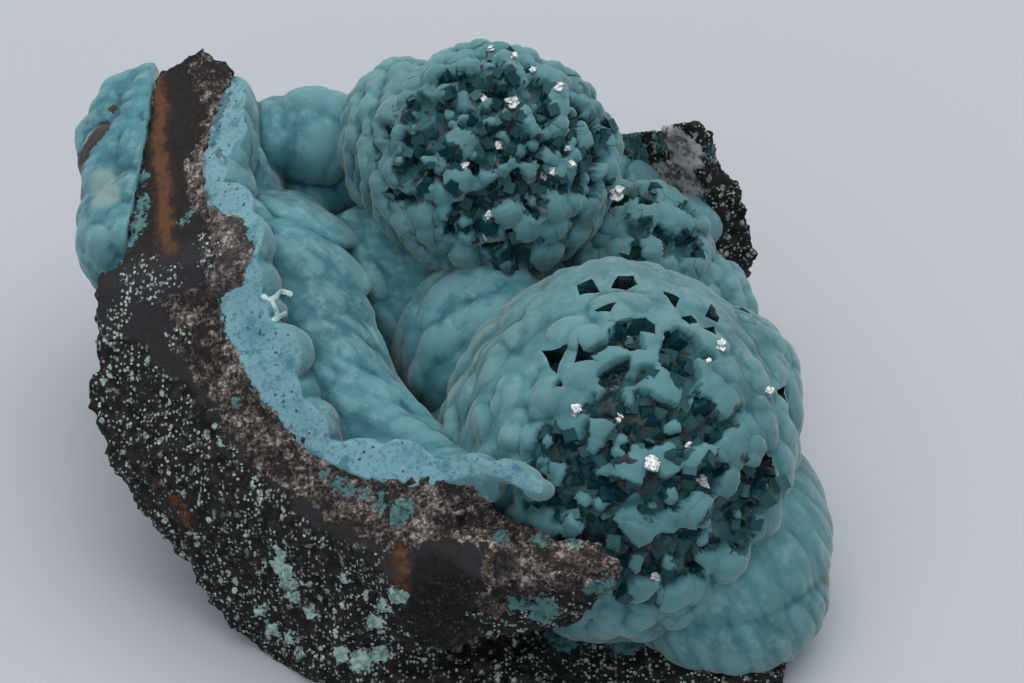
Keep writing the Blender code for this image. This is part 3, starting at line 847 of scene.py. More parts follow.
def add_lip(shape, rng):
    """Upright lumps along the line where the breaks meet the wall of the hollow."""
    placed = []
    for vertex in hollow.data.vertices:
        point = vertex.co / MM - SHIFT
        above, up = above_breaks(point)
        column, row = seen_at(vertex.co)
        if abs(above) > 0.8 or not has_rock(point) or column > LIP_END_COLUMN or row < LIP_FIRST_ROW:
            continue
        if any((point - other).length < LIP_SPACING for other in placed):
            continue
        placed.append(point)
        inward = -vertex.normal
        inward = (inward - up * inward.dot(up)).normalized()
        turned = Matrix((up.cross(inward), inward, up)).transposed().to_4x4()
        width = lip_width(point) * rng.uniform(0.85, 1.1)
        radii = (LIP_LONG, width, LIP_TALL * rng.uniform(0.8, 1.2))
        add_ball(shape, Matrix.Translation(place(point - up * LIP_SUNK)) @ turned, radii, 3)
    up, distance = BREAKS["lower break"]
    for pixel in LIP_END:
        eye = camera.location / MM - SHIFT
        ray = sight(pixel)
        point = eye + ray * (distance - eye.dot(up)) / ray.dot(up)
        add_ball(shape, Matrix.Translation(place(point - up * LIP_SUNK)) @ along(up), LIP_END_RADII, 3)
    return placed


print("pixels of the lip's end", len(LIP_END))

# %% Define how a crust is lined and finished
LINING_LUMPS = 420
LINING_LUMP_RADII = (6.0, 4.4, 4.4)
FLOW_DOWN_WALL = Vector((0.68, -0.25, -0.69)).normalized()
CRUST_VOXEL = 0.32
CRUST_SMOOTHING = 2


def spread_directions(count, rng, nudge=0.09):
    """Evenly spread directions, each nudged a little so that no pattern shows."""
    golden = math.pi * (3 - math.sqrt(5))
    for index in range(count):
        height = 1 - 2 * (index + 0.5) / count
        level = math.sqrt(1 - height * height)
        turn = index * golden
        direction = Vector((level * math.cos(turn), level * math.sin(turn), height))
        yield (direction + strayed(rng, nudge)).normalized()


def on_form(form, direction, sunk=0.0):
    """The point of an ellipsoid in a direction, or one sunk under its skin, in millimetres."""
    centre, radii = form
    return Vector(centre) + Vector([axis * (radius - sunk) for axis, radius in zip(direction, radii)])


def add_wall_lumps(shape, rng):
    """Lumps all along the wall of the hollow, no thicker than the lip above them."""
    bowl = HOLLOW_BOWLS[0]
    for direction in spread_directions(LINING_LUMPS, rng):
        floor_part = direction.z < -0.55
        left_part = direction.x < -0.25 and direction.y < 0.42 and direction.z < 0.6
        back_part = direction.y > 0.3 and direction.z < -0.25
        if not (floor_part or left_part or back_part):
            continue
        radii = [radius * rng.uniform(0.85, 1.15) for radius in LINING_LUMP_RADII]
        skin_point = on_form(bowl, direction)
        high = above_breaks(skin_point)[0] > -2
        column, row = seen_at(place(skin_point))
        behind_fin = row < WALL_FIRST_ROW and column > FIN_COLUMN
        if behind_fin or high and (not has_rock(skin_point) or row < WALL_FIRST_ROW):
            continue
        sunk = 0.9 * lip_width(skin_point) - radii[1]
        lean = direction.cross(Vector((0.3, 0.5, 1)))
        add_ellipsoid(shape, on_form(bowl, direction, sunk), radii, lean, 3)


def finish_crust(thing, relief, skin):
    """Give a crust its relief, bound it by the hollow and the breaks, and shade it."""
    run_tree(thing, relief_tree, relief)
    dress(thing, skin)
    cut(thing, hollow, "INTERSECT")
    for cutter in [ground, *breaks]:
        cut(thing, cutter)
    thing.data.shade_smooth()
    tell(thing)


def relief_values(lump, lump_height, bead, bead_height, flow, draw_out, wander=1.0, top_share=1.0):
    """The inputs of the relief tree, with sizes given in millimetres."""
    return {
        "Lump": lump * MM, "Lump height": lump_height * MM, "Bead": bead * MM,
        "Bead height": bead_height * MM, "Flow": flow, "Draw out": draw_out,
        "Wander": wander * MM, "Top share": top_share,
    }


print("lumps to try along the wall", LINING_LUMPS)

# %% Make the lining
rng = random.Random(11)
lining = make_forms("crust_lining", [*swept(LINING_SWELL, SWELL_STEPS), *LINING_VALLEY.values()])
fuse(lining, CRUST_VOXEL, CRUST_SMOOTHING)
swell_skin, shape = reopen(lining)
for pixel, *sides, turn in LINING_LAID_FOLDS:
    length, width = [side * FOLD_SPREAD for side in sides]
    add_laid_form(shape, swell_skin, pixel, length, width, FOLD_HEIGHT, FOLD_SUNK, turn, FOLD_TILT)
add_wall_lumps(shape, rng)
lip_row = add_lip(shape, rng)
lining = make_object("crust_lining", shape)
fuse(lining, CRUST_VOXEL, CRUST_SMOOTHING)
lining_relief = relief_values(
    lump=2.8, lump_height=0.22, bead=1.1, bead_height=0.12, flow=FLOW_DOWN_WALL, draw_out=0.6, wander=2.0)
finish_crust(lining, lining_relief, lining_material)
print("lumps of the lip", len(lip_row))

# %% Make the smooth domes
UP = Vector((0, 0, 1))
SMOOTH_DOMES = {
    "middle dome": ((4, 0.5, 18.5), (10.2, 9.8, 10.3)),
    "small dome": ((-15.2, 20, 33.4), (5.7, 5.5, 5.4)),
    "small dome left": ((-19.6, 19.5, 33.6), (3.6, 4.5, 4.2)),
    "small dome back": ((-11, 21, 28), (5, 5, 5)),
    "under the small dome": ((-16.5, 19, 26), (5, 5, 4.5)),
    "fin": ((-24.0, 16, 33.6), (2.8, 8.5, 8.8)),
    "fin foot": ((-22.0, 13, 27), (3.4, 8, 8)),
}
# The folds of the middle dome and the pleats of the fin, laid like those of the lining.
SMOOTH_LAID_FOLDS = [
    ((440, 300), 7.5, 4.0, -55), ((470, 282), 8.0, 5.0, -25), ((452, 335), 6.5, 3.4, -50),
    ((430, 350), 6.0, 3.0, -62), ((500, 272), 7.0, 4.5, -10), ((480, 318), 7.0, 4.0, -35),
    ((418, 378), 5.5, 2.6, -60), ((222, 112), 8, 1.4, 78), ((231, 118), 8, 1.4, 76),
    ((240, 128), 8, 1.4, 74), ((249, 142), 7.5, 1.4, 70), ((257, 160), 7, 1.4, 64), ((240, 175), 7, 1.6, 58),
    ((337, 106), 5.5, 3.6, 45), ((312, 100), 5.5, 3.4, 5),
]
DOME_FOLD_SUNK = 0.85
smooth_domes = make_forms("crust_smooth_domes", SMOOTH_DOMES.values())
fuse(smooth_domes, CRUST_VOXEL, CRUST_SMOOTHING)
dome_skin, shape = reopen(smooth_domes)
for pixel, length, width, turn in SMOOTH_LAID_FOLDS:
    add_laid_form(shape, dome_skin, pixel, length, width, FOLD_HEIGHT, DOME_FOLD_SUNK, turn)
smooth_domes = make_object("crust_smooth_domes", shape)
fuse(smooth_domes, CRUST_VOXEL, CRUST_SMOOTHING)
smooth_relief = relief_values(
    lump=3.6, lump_height=0.35, bead=1.3, bead_height=0.12, flow=UP, draw_out=0.5, wander=2.0)
finish_crust(smooth_domes, smooth_relief, lining_material)

# %% [markdown]
# ## The two large domes
# The front dome is smooth on top and lumpy down its left flank, and under it hangs a skirt with fine
# upright ribs. The back dome is ribbed down its left flank, like wax that has run, and has a
# shoulder on its right. Each of the four gets its own relief values.

# %% Choose the forms of the large domes
FRONT_DOME = ((18.5, -13.8, 16.4), (18.9, 20.2, 20.2))
FRONT_FORMS = {
    "dome": FRONT_DOME,
    "shoulder": ((28.6, -10, 20.6), (9.4, 10.2, 10.2)),
    "flank": ((6, -11, 12), (8.3, 11.0, 10.0)),
}
SKIRT_FORMS = {
    "foot": ((29, -19, 8.5), (12.4, 14.0, 12.6)),
    "toe": ((30, -24, 6), (11.0, 10.5, 7.5)),
}
BACK_DOME = ((4.2, 14, 33.6), (13.7, 12.0, 12.9))
BACK_FORMS = {
    "dome": BACK_DOME,
    "left": ((-4.5, 17.5, 34.6), (7.2, 8.0, 9.2)),
    "foot": ((3, 14, 17), (14.0, 12.5, 14.3)),
}
SHOULDER_FORMS = {
    "right shoulder": ((21, 12, 21), (8.6, 7.8, 8.8)),
    "right shoulder low": ((27.5, 9, 15), (7.0, 8.0, 8.0)),
}
# Lobes laid on as on the lining: large faint ones on the front dome, ribs on the back dome, and a
# loop on the shoulder.
FRONT_LAID_LOBES = [
    ((575, 335), 7, 5, 30), ((620, 310), 8, 6, 10), ((690, 300), 7, 5, 10),
    ((608, 275), 13, 11, 0), ((560, 300), 9, 8, 40), ((655, 290), 8, 7, 20), ((725, 300), 9, 7, 15),
    ((752, 330), 8, 6.5, 50), ((770, 365), 7, 5, 70), ((778, 420), 6.5, 4.5, 80), ((745, 370), 6, 5, 30),
    ((527, 330), 7.5, 5, -55), ((497, 365), 6.5, 3.4, -65), ((470, 395), 6.0, 3.2, -65),
    ((510, 395), 6.5, 4.4, -75), ((545, 400), 6.0, 4.4, -80), ((485, 425), 5.5, 3.4, -70),
    ((455, 425), 5.0, 3.0, -70), ((540, 440), 6.0, 4.4, -80), ((515, 440), 5.0, 3.2, -80),
    ((770, 515), 6.5, 4.5, 85), ((750, 455), 5, 4, 60), ((735, 520), 5.0, 4.5, 60),
    ((705, 510), 4.6, 4.2, 20), ((755, 570), 6.0, 4.6, 85), ((725, 565), 5.0, 4.0, 40),
]
BACK_LAID_LOBES = [
    ((372, 100), 8, 2.6, 82), ((390, 130), 9, 2.4, 84), ((372, 155), 7, 2.4, 86), ((388, 190), 8, 2.4, 86),
    ((398, 85), 7, 2.6, 100), ((405, 215), 7, 2.4, 88), ((378, 225), 7, 2.4, 84), ((395, 255), 7, 2.6, 84),
    ((362, 190), 6, 2.2, 80), ((420, 245), 5, 2.6, 80), ((410, 165), 6, 2.4, 92), ((357, 125), 7, 2.4, 82),
]
SHOULDER_LAID_LOBES = [
    ((668, 203), 3.4, 2.2, 20), ((682, 212), 3.4, 2.2, 42), ((692, 226), 3.4, 2.2, 66),
    ((696, 244), 3.6, 2.2, 86), ((694, 262), 3.4, 2.2, 98),
]
print("lobes chosen", len(FRONT_LAID_LOBES + BACK_LAID_LOBES + SHOULDER_LAID_LOBES))

# %% Make the large domes
DOME_VOXEL = 0.27
DOME_SMOOTHING = 3
LOBE_HEIGHT, LOBE_SUNK = 2.2, 1.5
FLOW_DOWN_SKIRT = Vector((-0.45, 0, 1)).normalized()


def make_dome(name, forms, relief, lobes=()):
    dome = make_forms(name, forms.values(), detail=5)
    if lobes:
        plain_skin, shape = reopen(dome)
        for pixel, length, width, turn in lobes:
            add_laid_form(shape, plain_skin, pixel, length, width, LOBE_HEIGHT, LOBE_SUNK, turn)
        dome = make_object(name, shape)
    fuse(dome, DOME_VOXEL, DOME_SMOOTHING)
    finish_crust(dome, relief, dome_material)
    return dome


front_relief = relief_values(
    lump=2.9, lump_height=0.8, bead=1.2, bead_height=0.12, flow=UP, draw_out=0.5, wander=1.3, top_share=0.3)
skirt_relief = relief_values(
    lump=1.9, lump_height=0.42, bead=0.8, bead_height=0.07, flow=FLOW_DOWN_SKIRT, draw_out=0.86,
    wander=2.6, top_share=0.8)
back_relief = relief_values(
    lump=2.2, lump_height=0.9, bead=0.8, bead_height=0.25, flow=UP, draw_out=0.68, wander=2.2, top_share=0.8)
shoulder_relief = relief_values(
    lump=2.4, lump_height=0.9, bead=1.0, bead_height=0.16, flow=UP, draw_out=0.45, wander=1.2)
front = make_dome("crust_front_dome", FRONT_FORMS, front_relief, FRONT_LAID_LOBES)
skirt = make_dome("crust_front_skirt", SKIRT_FORMS, skirt_relief)
back = make_dome("crust_back_dome", BACK_FORMS, back_relief, BACK_LAID_LOBES)
shoulder = make_dome("crust_right_shoulder", SHOULDER_FORMS, shoulder_relief, SHOULDER_LAID_LOBES)

# %% [markdown]
# ## The windows in the skin
# Round the broken-out face of the front dome the skin has small windows with three to five straight
# sides, and dark quartz shows in them. They are cut: each window is a tapered block, set where its
# sight line meets the dome, and the cut faces take the dark material of the block.

# %% Cut the windows
# Each window: the pixel of its middle, its width in millimetres, its corners and its turn in degrees.
WINDOWS = [
    ((587, 293), 2.1, 4, 10), ((624, 288), 2.6, 5, 20), ((672, 304), 2.0, 3, 40),
    ((740, 305), 2.5, 3, 95), ((606, 315), 1.9, 3, 0), ((712, 317), 1.7, 4, 15),
    ((690, 321), 1.8, 4, 5), ((711, 332), 2.5, 3, 90), ((668, 335), 1.2, 4, 30),
    ((643, 329), 2.6, 5, 50), ((553, 361), 3.2, 3, 85), ((581, 356), 3.0, 3, 30),
    ((604, 382), 1.5, 4, 40), ((777, 399), 2.4, 3, 100), ((762, 470), 3.4, 5, 15),
    ((761, 492), 1.2, 4, 60), ((779, 506), 1.1, 4, 0), ((749, 549), 1.9, 5, 30),
    ((744, 568), 1.5, 4, 20), ((759, 608), 2.8, 4, 50),
]
WINDOW_DEPTH, WINDOW_HEADROOM = 1.9, 2.0
WINDOW_TAPER, WINDOW_TOP, WINDOW_SPREAD = 0.62, 1.25, 1.22


def meet_form(pixel, form):
    """Where a sight line first meets a form, in millimetres, and the outward direction."""
    centre, radii = form
    eye = camera.location / MM - SHIFT - Vector(centre)
    ray = sight(pixel)
    start = Vector([part / radius for part, radius in zip(eye, radii)])
    step = Vector([part / radius for part, radius in zip(ray, radii)])
    a, b, c = step.dot(step), start.dot(step), start.dot(start) - 1
    nearest = max(b * b - a * c, 0)
    hit = start + step * (-b - math.sqrt(nearest)) / a
    point = Vector(centre) + Vector([part * radius for part, radius in zip(hit, radii)])
    outward = Vector([part / radius for part, radius in zip(hit, radii)]).normalized()
    return point, outward


def add_window(shape, pixel, width, count, turn, rng):
    point, outward = meet_form(pixel, FRONT_DOME)
    frame_here = Matrix.Translation(place(point)) @ along(outward)
    corners = []
    for index in range(count):
        angle = math.radians(turn) + math.tau * (index + rng.uniform(-0.18, 0.18)) / count
        reach = width * WINDOW_SPREAD / 2 * rng.uniform(0.85, 1.3) * MM
        side = Vector((math.cos(angle) * reach, math.sin(angle) * reach, 0))
        corners.append(frame_here @ (side * WINDOW_TAPER + Vector((0, 0, -WINDOW_DEPTH * MM))))
        corners.append(frame_here @ (side * WINDOW_TOP + Vector((0, 0, WINDOW_HEADROOM * MM))))
    add_hull(shape, corners)


dark_quartz = bpy.data.materials.new("dark quartz bed")
rng = random.Random(5)
shape = bmesh.new()
for pixel, width, count, turn in WINDOWS:
    add_window(shape, pixel, width, count, turn, rng)
windows = make_object("windows", shape)
windows.data.materials.append(dark_quartz)
before = triangles(front)
cut(front, windows)
print("windows", len(WINDOWS), "triangles", before, "to", triangles(front))

# %% [markdown]
# ## The broken-out faces
# On the face of each dome the skin survives only as knobs, pads and bridges, and the rest is a bed
# of dark quartz a millimetre lower. The pads have straight-sided outlines, because they broke along
# the crystals. So a Voronoi cell is kept or lost as a whole: its random value is compared with a
# share that falls from one at the edge of the face to less than half in the middle. What is kept
# swells into a knob, and small knobs stand alone in the open parts.

# %% Build the broken skin tree
EDGE_GRAIN, EDGE_STRAY = 2.4, 0.8
KNOB_RISE = 1.1


def make_broken_skin_tree():
    tree, given = new_tree("broken skin", {
        "Pad": "Float", "Knob": "Float", "Depth": "Float", "Pad height": "Float",
        "Kept in the middle": "Float", "Knobs kept": "Float", "Shift": "Float",
    })
    where = add(tree, "GeometryNodeInputPosition").outputs[0]
    shift = add(tree, "ShaderNodeCombineXYZ", {0: given["Shift"], 1: given["Shift"], 2: 0.0}).outputs[0]
    stray = drift(tree, where, EDGE_GRAIN, EDGE_STRAY * MM)
    moved = vectors(tree, "ADD", vectors(tree, "ADD", where, shift), stray)

    def cell_value(size, **settings):
        cells = cells_of(tree, moved, size, **settings)
        return add(tree, "ShaderNodeSeparateXYZ", {0: cells["Color"]}).outputs[0]

    share = read_mark(tree, "share")
    kept = ramp(tree, share, 0.5, 1.12, given["Kept in the middle"], 1.0)
    pad_value = cell_value(given["Pad"], kind="SMOOTH_F1", Smoothness=0.1)
    gap = maths(tree, "SUBTRACT", pad_value, kept)
    opened = ramp(tree, gap, -0.02, 0.03)
    whole = maths(tree, "SUBTRACT", 1, opened)
    face_part = ramp(tree, share, 1.5, 0.9)
    pad_lump = lumps(tree, moved, given["Pad"])
    knob_lump = lumps(tree, moved, given["Knob"])
    knob_value = maths(tree, "SUBTRACT", cell_value(given["Knob"]), given["Knobs kept"])
    knob = times(tree, ramp(tree, knob_value, 0.02, -0.02), opened, ramp(tree, knob_lump, 0.35, 0.6))
    raised = times(tree, given["Pad height"], face_part, whole, pad_lump)
    grown = times(tree, given["Depth"], knob, knob_lump, KNOB_RISE)
    level = maths(tree, "SUBTRACT", plus(tree, raised, grown), times(tree, given["Depth"], opened))
    moved_skin = raise_skin(tree, given["Geometry"], level)
    open_value = times(tree, opened, maths(tree, "SUBTRACT", 1, knob))
    add(tree, "NodeGroupOutput", {0: store_mark(tree, moved_skin, "open", open_value)})
    return tree


broken_skin_tree = make_broken_skin_tree()
print("broken skin tree", len(broken_skin_tree.nodes), "nodes")

# %% Break the skin out of the faces
# Each face: its form, the pixel of its middle, and its half widths in degrees across and up.
FRONT_FACE = (FRONT_DOME, (656, 478), (48, 50))
BACK_FACE = (BACK_DOME, (512, 140), (72, 74))
SHOULDER_FACE = (SHOULDER_FORMS["right shoulder"], (650, 220), (52, 52))


def face_shares(points, face):
    """How far each point is from the middle of a face: 1 is the edge of the face."""
    (centre, radii), middle, half_widths = face
    hit, _ = meet_form(middle, (centre, radii))
    look = [part / radius for part, radius in zip(hit - Vector(centre), radii)]
    local = (points / MM - np.array(SHIFT + Vector(centre))) / np.array(radii)
    turned = local @ np.array(along(look).to_3x3())
    angles = [np.degrees(np.arctan2(turned[:, axis], turned[:, 2])) for axis in (0, 1)]
    return np.hypot(angles[0] / half_widths[0], angles[1] / half_widths[1])


def break_skin(piece, face, pad, knob, depth, height, kept, knobs_kept, shift):
    shares = face_shares(read_points(piece), face)
    write_attribute(piece, "share", shares)
    write_attribute(piece, "face", np.clip((1.2 - shares) / 0.5, 0, 1))
    run_tree(piece, broken_skin_tree, {
        "Pad": pad * MM, "Knob": knob * MM, "Depth": depth * MM, "Pad height": height * MM,
        "Kept in the middle": kept, "Knobs kept": knobs_kept, "Shift": shift,
    })
    tell(piece)


break_skin(front, FRONT_FACE, pad=3.2, knob=1.8, depth=1.2, height=0.9, kept=0.34, knobs_kept=0.25, shift=0.0)
break_skin(back, BACK_FACE, pad=2.5, knob=1.5, depth=1.3, height=1.1, kept=0.42, knobs_kept=0.32, shift=0.031)
break_skin(
    shoulder, SHOULDER_FACE, pad=2.4, knob=1.4, depth=1.1, height=0.9,
    kept=0.50, knobs_kept=0.30, shift=0.017)
for piece in (lining, smooth_domes, front, skirt, back, shoulder):
    store_crown(piece)

# %% Build the quartz materials
BED_COLOURS = ((0.003, 0.012, 0.015), (0.012, 0.075, 0.090), (0.026, 0.055, 0.056))
QUARTZ_GLEAM = (0.42, 0.85, 0.90)
QUARTZ_TINTS = ((0.010, 0.085, 0.105), (0.060, 0.175, 0.185))
# Painted glint: the grey and near white of the crystal faces that catch the light.
PAINTED_GLINT_TINTS = ((0.15, 0.185, 0.195), (0.66, 0.67, 0.68))


def bed_colour(tree, where):
    """Near black with deep teal patches and a little grey."""
    black, teal, grey = [colour(values) for values in BED_COLOURS]
    base = blend(tree, ramp(tree, cloud(tree, where, 3.5), 0.38, 0.62), black, teal)
    return blend(tree, ramp(tree, cloud(tree, where, 1.1), 0.55, 0.75), base, grey)


def make_bed(material):
    """The dark glossy ground under the crystals."""
    material, tree, shader, where = start_material("", material)
    tree.links.new(bed_colour(tree, where), shader.inputs["Base Color"])
    set_inputs(shader, {"Roughness": 0.22})
    link_bump(tree, shader, cloud(tree, where, 0.5), 0.6, 0.25)


def add_bed_to_skin(material):
    """Where the skin is open, its material turns into the dark bed."""
    tree = material.node_tree
    shader = tree.nodes["Principled BSDF"]
    rough = shader.inputs["Roughness"].links[0].from_socket
    paint_over(material, lambda tree, where: ramp(tree, stored(tree, "open"), 0.35, 0.75), bed_colour)
    opened = ramp(tree, stored(tree, "open"), 0.35, 0.75)
    glossier = maths(tree, "SUBTRACT", rough, times(tree, opened, 0.35), clamp=True)
    tree.links.new(glossier, shader.inputs["Roughness"])


make_bed(dark_quartz)
add_bed_to_skin(dome_material)
quartz, tree, shader, where = start_material("quartz crystals")
quartz_tint = tinted(tree, ramp(tree, stored(tree, "tone"), 0.3, 0.9), *QUARTZ_TINTS)
tree.links.new(quartz_tint, shader.inputs["Base Color"])
set_inputs(shader, {
    "Roughness": 0.24, "Specular IOR Level": 0.3, "Specular Tint": colour(QUARTZ_GLEAM), "IOR": 1.54,
    "Transmission Weight": 0.7,
})
# The glinting faces take a painted glint as their base colour, mottled grey to near white.
painted_glint_quartz, tree, shader, where = start_material("quartz faces with a painted glint")
painted_glints = tinted(tree, ramp(tree, cloud(tree, where, 0.3, 4.0, 0.8), 0.42, 0.56), *PAINTED_GLINT_TINTS)
tree.links.new(painted_glints, shader.inputs["Base Color"])
set_inputs(shader, {"Roughness": 0.18, "Specular IOR Level": 0.9})
print("quartz materials ready")

# %% [markdown]
# ## The crystals
# Quartz grows here as short blunt points that crowd each other. Only their ends show, and an end
# like that is close to the corner of a cube. So one cube that stands on its corner is the crystal,
# and Geometry Nodes scatter it over the open parts of a face with a random size, lean and turn.
# The tree ends by making the copies real and giving them their material.

# %% Scatter the crystals
CRYSTAL_SINK, CRYSTAL_SHARE = 0.25, 0.8
TONE_SEED = 7


def make_crystal(name):
    """A cube that stands on its corner, a little sunk, one unit wide."""
    shape = bmesh.new()
    corner_up = Vector((1, 1, 1)).rotation_difference(Vector((0, 0, 1))).to_matrix().to_4x4()
    bmesh.ops.create_cube(shape, size=1, matrix=Matrix.Translation((0, 0, -CRYSTAL_SINK)) @ corner_up)
    return make_object(name, shape)


def make_scatter_tree(name):
    tree, given = new_tree(name, {
        "Copy": "Object", "Material": "Material", "Spacing": "Float", "Smallest": "Float",
        "Largest": "Float", "Lean": "Float", "Seed": "Int", "Where": "String", "From": "Float",
    })
    inputs = {0: read_mark(tree, given["Where"]), 1: given["From"]}
    chosen = add(tree, "FunctionNodeCompare", inputs, data_type="FLOAT", operation="GREATER_THAN")
    density = maths(tree, "DIVIDE", 2.0, times(tree, given["Spacing"], given["Spacing"]))
    inputs = {
        "Mesh": given["Geometry"], "Selection": chosen.outputs[0], "Distance Min": given["Spacing"],
        "Density Max": density, "Seed": given["Seed"],
    }
    points = add(tree, "GeometryNodeDistributePointsOnFaces", inputs, distribute_method="POISSON")
    back_lean = times(tree, given["Lean"], -1)
    least = add(tree, "ShaderNodeCombineXYZ", {0: back_lean, 1: back_lean, 2: 0.0})
    most = add(tree, "ShaderNodeCombineXYZ", {0: given["Lean"], 1: given["Lean"], 2: math.tau})
    inputs = {0: least.outputs[0], 1: most.outputs[0], "Seed": given["Seed"]}
    lean = add(tree, "FunctionNodeRandomValue", inputs, data_type="FLOAT_VECTOR").outputs[0]
    inputs = {0: points.outputs["Rotation"], 1: lean}
    turned = add(tree, "FunctionNodeRotateRotation", inputs, rotation_space="LOCAL")
    inputs = {2: given["Smallest"], 3: given["Largest"], "Seed": given["Seed"]}
    size = add(tree, "FunctionNodeRandomValue", inputs, data_type="FLOAT").outputs[1]
    copy = add(tree, "GeometryNodeObjectInfo", {"Object": given["Copy"]}).outputs["Geometry"]
    inputs = {"Points": points.outputs[0], "Instance": copy, "Rotation": turned.outputs[0], "Scale": size}
    placed = add(tree, "GeometryNodeInstanceOnPoints", inputs).outputs[0]
    inputs = {2: 0.0, 3: 1.0, "Seed": TONE_SEED}
    tone = add(tree, "FunctionNodeRandomValue", inputs, data_type="FLOAT").outputs[1]
    toned = store_mark(tree, placed, "tone", tone, "INSTANCE")
    real = add(tree, "GeometryNodeRealizeInstances", {0: toned}).outputs[0]
    finished = add(tree, "GeometryNodeSetMaterial", {"Geometry": real, "Material": given["Material"]})
    add(tree, "NodeGroupOutput", {0: finished.outputs[0]})
    return tree


def scatter(name, ground_piece, spacing, sizes, lean, seed):
    """Scatter crystals over the open part of a piece, with sizes in millimetres."""
    thing = new_object(name, ground_piece.data.copy())
    run_tree(thing, scatter_tree, {
        "Copy": crystal, "Material": quartz, "Spacing": spacing * MM, "Smallest": sizes[0] * MM,
        "Largest": sizes[1] * MM, "Lean": math.radians(lean), "Seed": seed, "Where": "open",
        "From": CRYSTAL_SHARE,
    })
    tell(thing)
    return thing


crystal = make_crystal("crystal")
scatter_tree = make_scatter_tree("scatter over a surface")
front_crystals = scatter("quartz_crystals_front", front, spacing=0.95, sizes=(0.7, 1.5), lean=24, seed=3)
back_crystals = scatter("quartz_crystals_back", back, spacing=0.85, sizes=(0.7, 1.5), lean=28, seed=4)
shoulder_crystals = scatter(
    "quartz_crystals_shoulder", shoulder, spacing=0.85, sizes=(0.6, 1.2), lean=28, seed=6)

# %% [markdown]
# ## The crystal faces with a painted glint
# A few crystal faces catch the light and look white from here. Each is a small cluster of thin
# faces painted near white, a painted glint that stays pale from every side. Each cluster is set
# where its sight line meets the dome and leaned half way between the lamp and the camera.

# %% Place the bright crystals
# Each bright spot: the pixel and the size in millimetres.
FRONT_SPARKS = [
    ((655, 463), 2.2), ((700, 477), 1.6), ((578, 410), 1.3), ((720, 347), 1.1), ((767, 389), 0.9),
    ((620, 418), 0.8), ((688, 447), 0.8), ((707, 362), 0.7), ((628, 340), 0.5), ((655, 578), 0.9),
]
BACK_SPARKS = [
    ((483, 100), 1.1), ((510, 103), 1.5), ((495, 141), 1.7), ((462, 162), 1.2), ((543, 174), 1.3),
    ((555, 170), 0.9), ((570, 163), 1.1), ((492, 217), 1.7), ((487, 237), 1.0), ((559, 88), 1.1),
    ((534, 71), 0.9), ((569, 148), 0.8), ((615, 190), 1.9), ((512, 57), 0.9), ((490, 48), 0.7),
]
SPARK_FLAKES = 4
SPARK_RISE, SPARK_THICKNESS = 0.3, 0.2
SPARK_STRAY, SPARK_LEAN = 0.28, 0.15
FLAKE_CORNERS = 5


def add_flake(shape, here, size, rng):
    """A thin crystal face of a few corners."""
    corners = []
    for index in range(FLAKE_CORNERS):
        angle = math.tau * (index + rng.uniform(-0.3, 0.3)) / FLAKE_CORNERS
        reach = size * rng.uniform(0.2, 0.5) * MM
        side = Vector((math.cos(angle) * reach, math.sin(angle) * reach, 0))
        corners += [here @ side, here @ (side - Vector((0, 0, SPARK_THICKNESS * MM)))]
    add_hull(shape, corners)


def add_sparks(name, sparks, piece, seed):
    """Clusters of glint-painted crystal faces on a piece, leaned half way between lamp and camera."""
    skin = skin_of(piece)
    rng = random.Random(seed)
    shape = bmesh.new()
    lamp_at = Vector(LAMPS["top softbox"][0])
    for pixel, size in sparks:
        point, normal = land(pixel, skin)
        if point is None:
            continue
        glint = (lamp_at - point).normalized() + (camera.location - point).normalized()
        for _ in range(SPARK_FLAKES):
            stray = strayed(rng, SPARK_STRAY) * size * MM
            lean = (glint + strayed(rng, SPARK_LEAN)).normalized()
            here = Matrix.Translation(point + normal * SPARK_RISE * MM + stray) @ along(lean)
            add_flake(shape, here, size, rng)
    thing = make_object(name, shape)
    thing.data.materials.append(painted_glint_quartz)
    tell(thing)
    return thing


front_sparks = add_sparks("quartz_sparks_front", FRONT_SPARKS, front, 21)
back_sparks = add_sparks("quartz_sparks_back", BACK_SPARKS, back, 22)

# %% [markdown]
# ## The rock
# The rock keeps the shape of its solid. A copy of that solid is welded and remeshed finely, and
# then it gets its grain: deep and crumbly on the outside, shallow in the band along the crust, and
# none on the rest of the two fresh breaks or on the sawn base. Which part is which is worked out
# for each point and stored as an attribute.

# %% Copy the rock and find its parts
ROCK_VOXEL = 0.47
# The width of the band on the rock in millimetres, against the row of the photograph.
BAND_ROWS = (50, 100, 150, 200, 225, 282, 300, 335, 380, 450, 560)
BAND_WIDTHS = (2.6, 1.3, 1.4, 2.4, 0.5, 0.5, 5.5, 5.0, 4.2, 4.2, 4.5)
# Left of this line of the photograph, by row, the outside is rough instead of split smooth.
ROUGH_ROWS = (318, 345, 370, 400, 440, 475, 500, 530, 556)
ROUGH_COLUMNS = (60, 140, 160, 205, 222, 262, 295, 315, 385)
# A point is on a break while it is this near its plane, in millimetres, and faces its way.
BREAK_NEAR, BREAK_FACING = (1.0, 1.9), (-0.9, -0.72)
ORIGIN = np.array(SHIFT)


def near(values, low, high):
    """1 below the low limit, 0 above the high one, and straight between them."""
    return np.clip((high - values) / (high - low), 0, 1)


def break_share(points, normals, wanted=BREAKS):
    """How much each point belongs to a fresh break."""
    share = np.zeros(len(points))
    for name in wanted:
        normal, distance = BREAKS[name]
        away = np.abs((points / MM - ORIGIN) @ np.array(normal) - distance)
        facing = near(-(normals @ np.array(normal)), *BREAK_FACING)
        share = np.maximum(share, near(away, *BREAK_NEAR) * facing)
    return share


def polyline_distance(points, corners):
    """The distance from each point to the nearest stretch of a line of corners."""
    best = np.full(len(points), np.inf)
    for first, last in zip(corners, corners[1:]):
        first, last = np.array(first), np.array(last)
        run = last - first
        part = np.clip((points - first) @ run / (run @ run), 0, 1)
        best = np.minimum(best, np.linalg.norm(points - first - part[:, None] * run, axis=1))
    return best


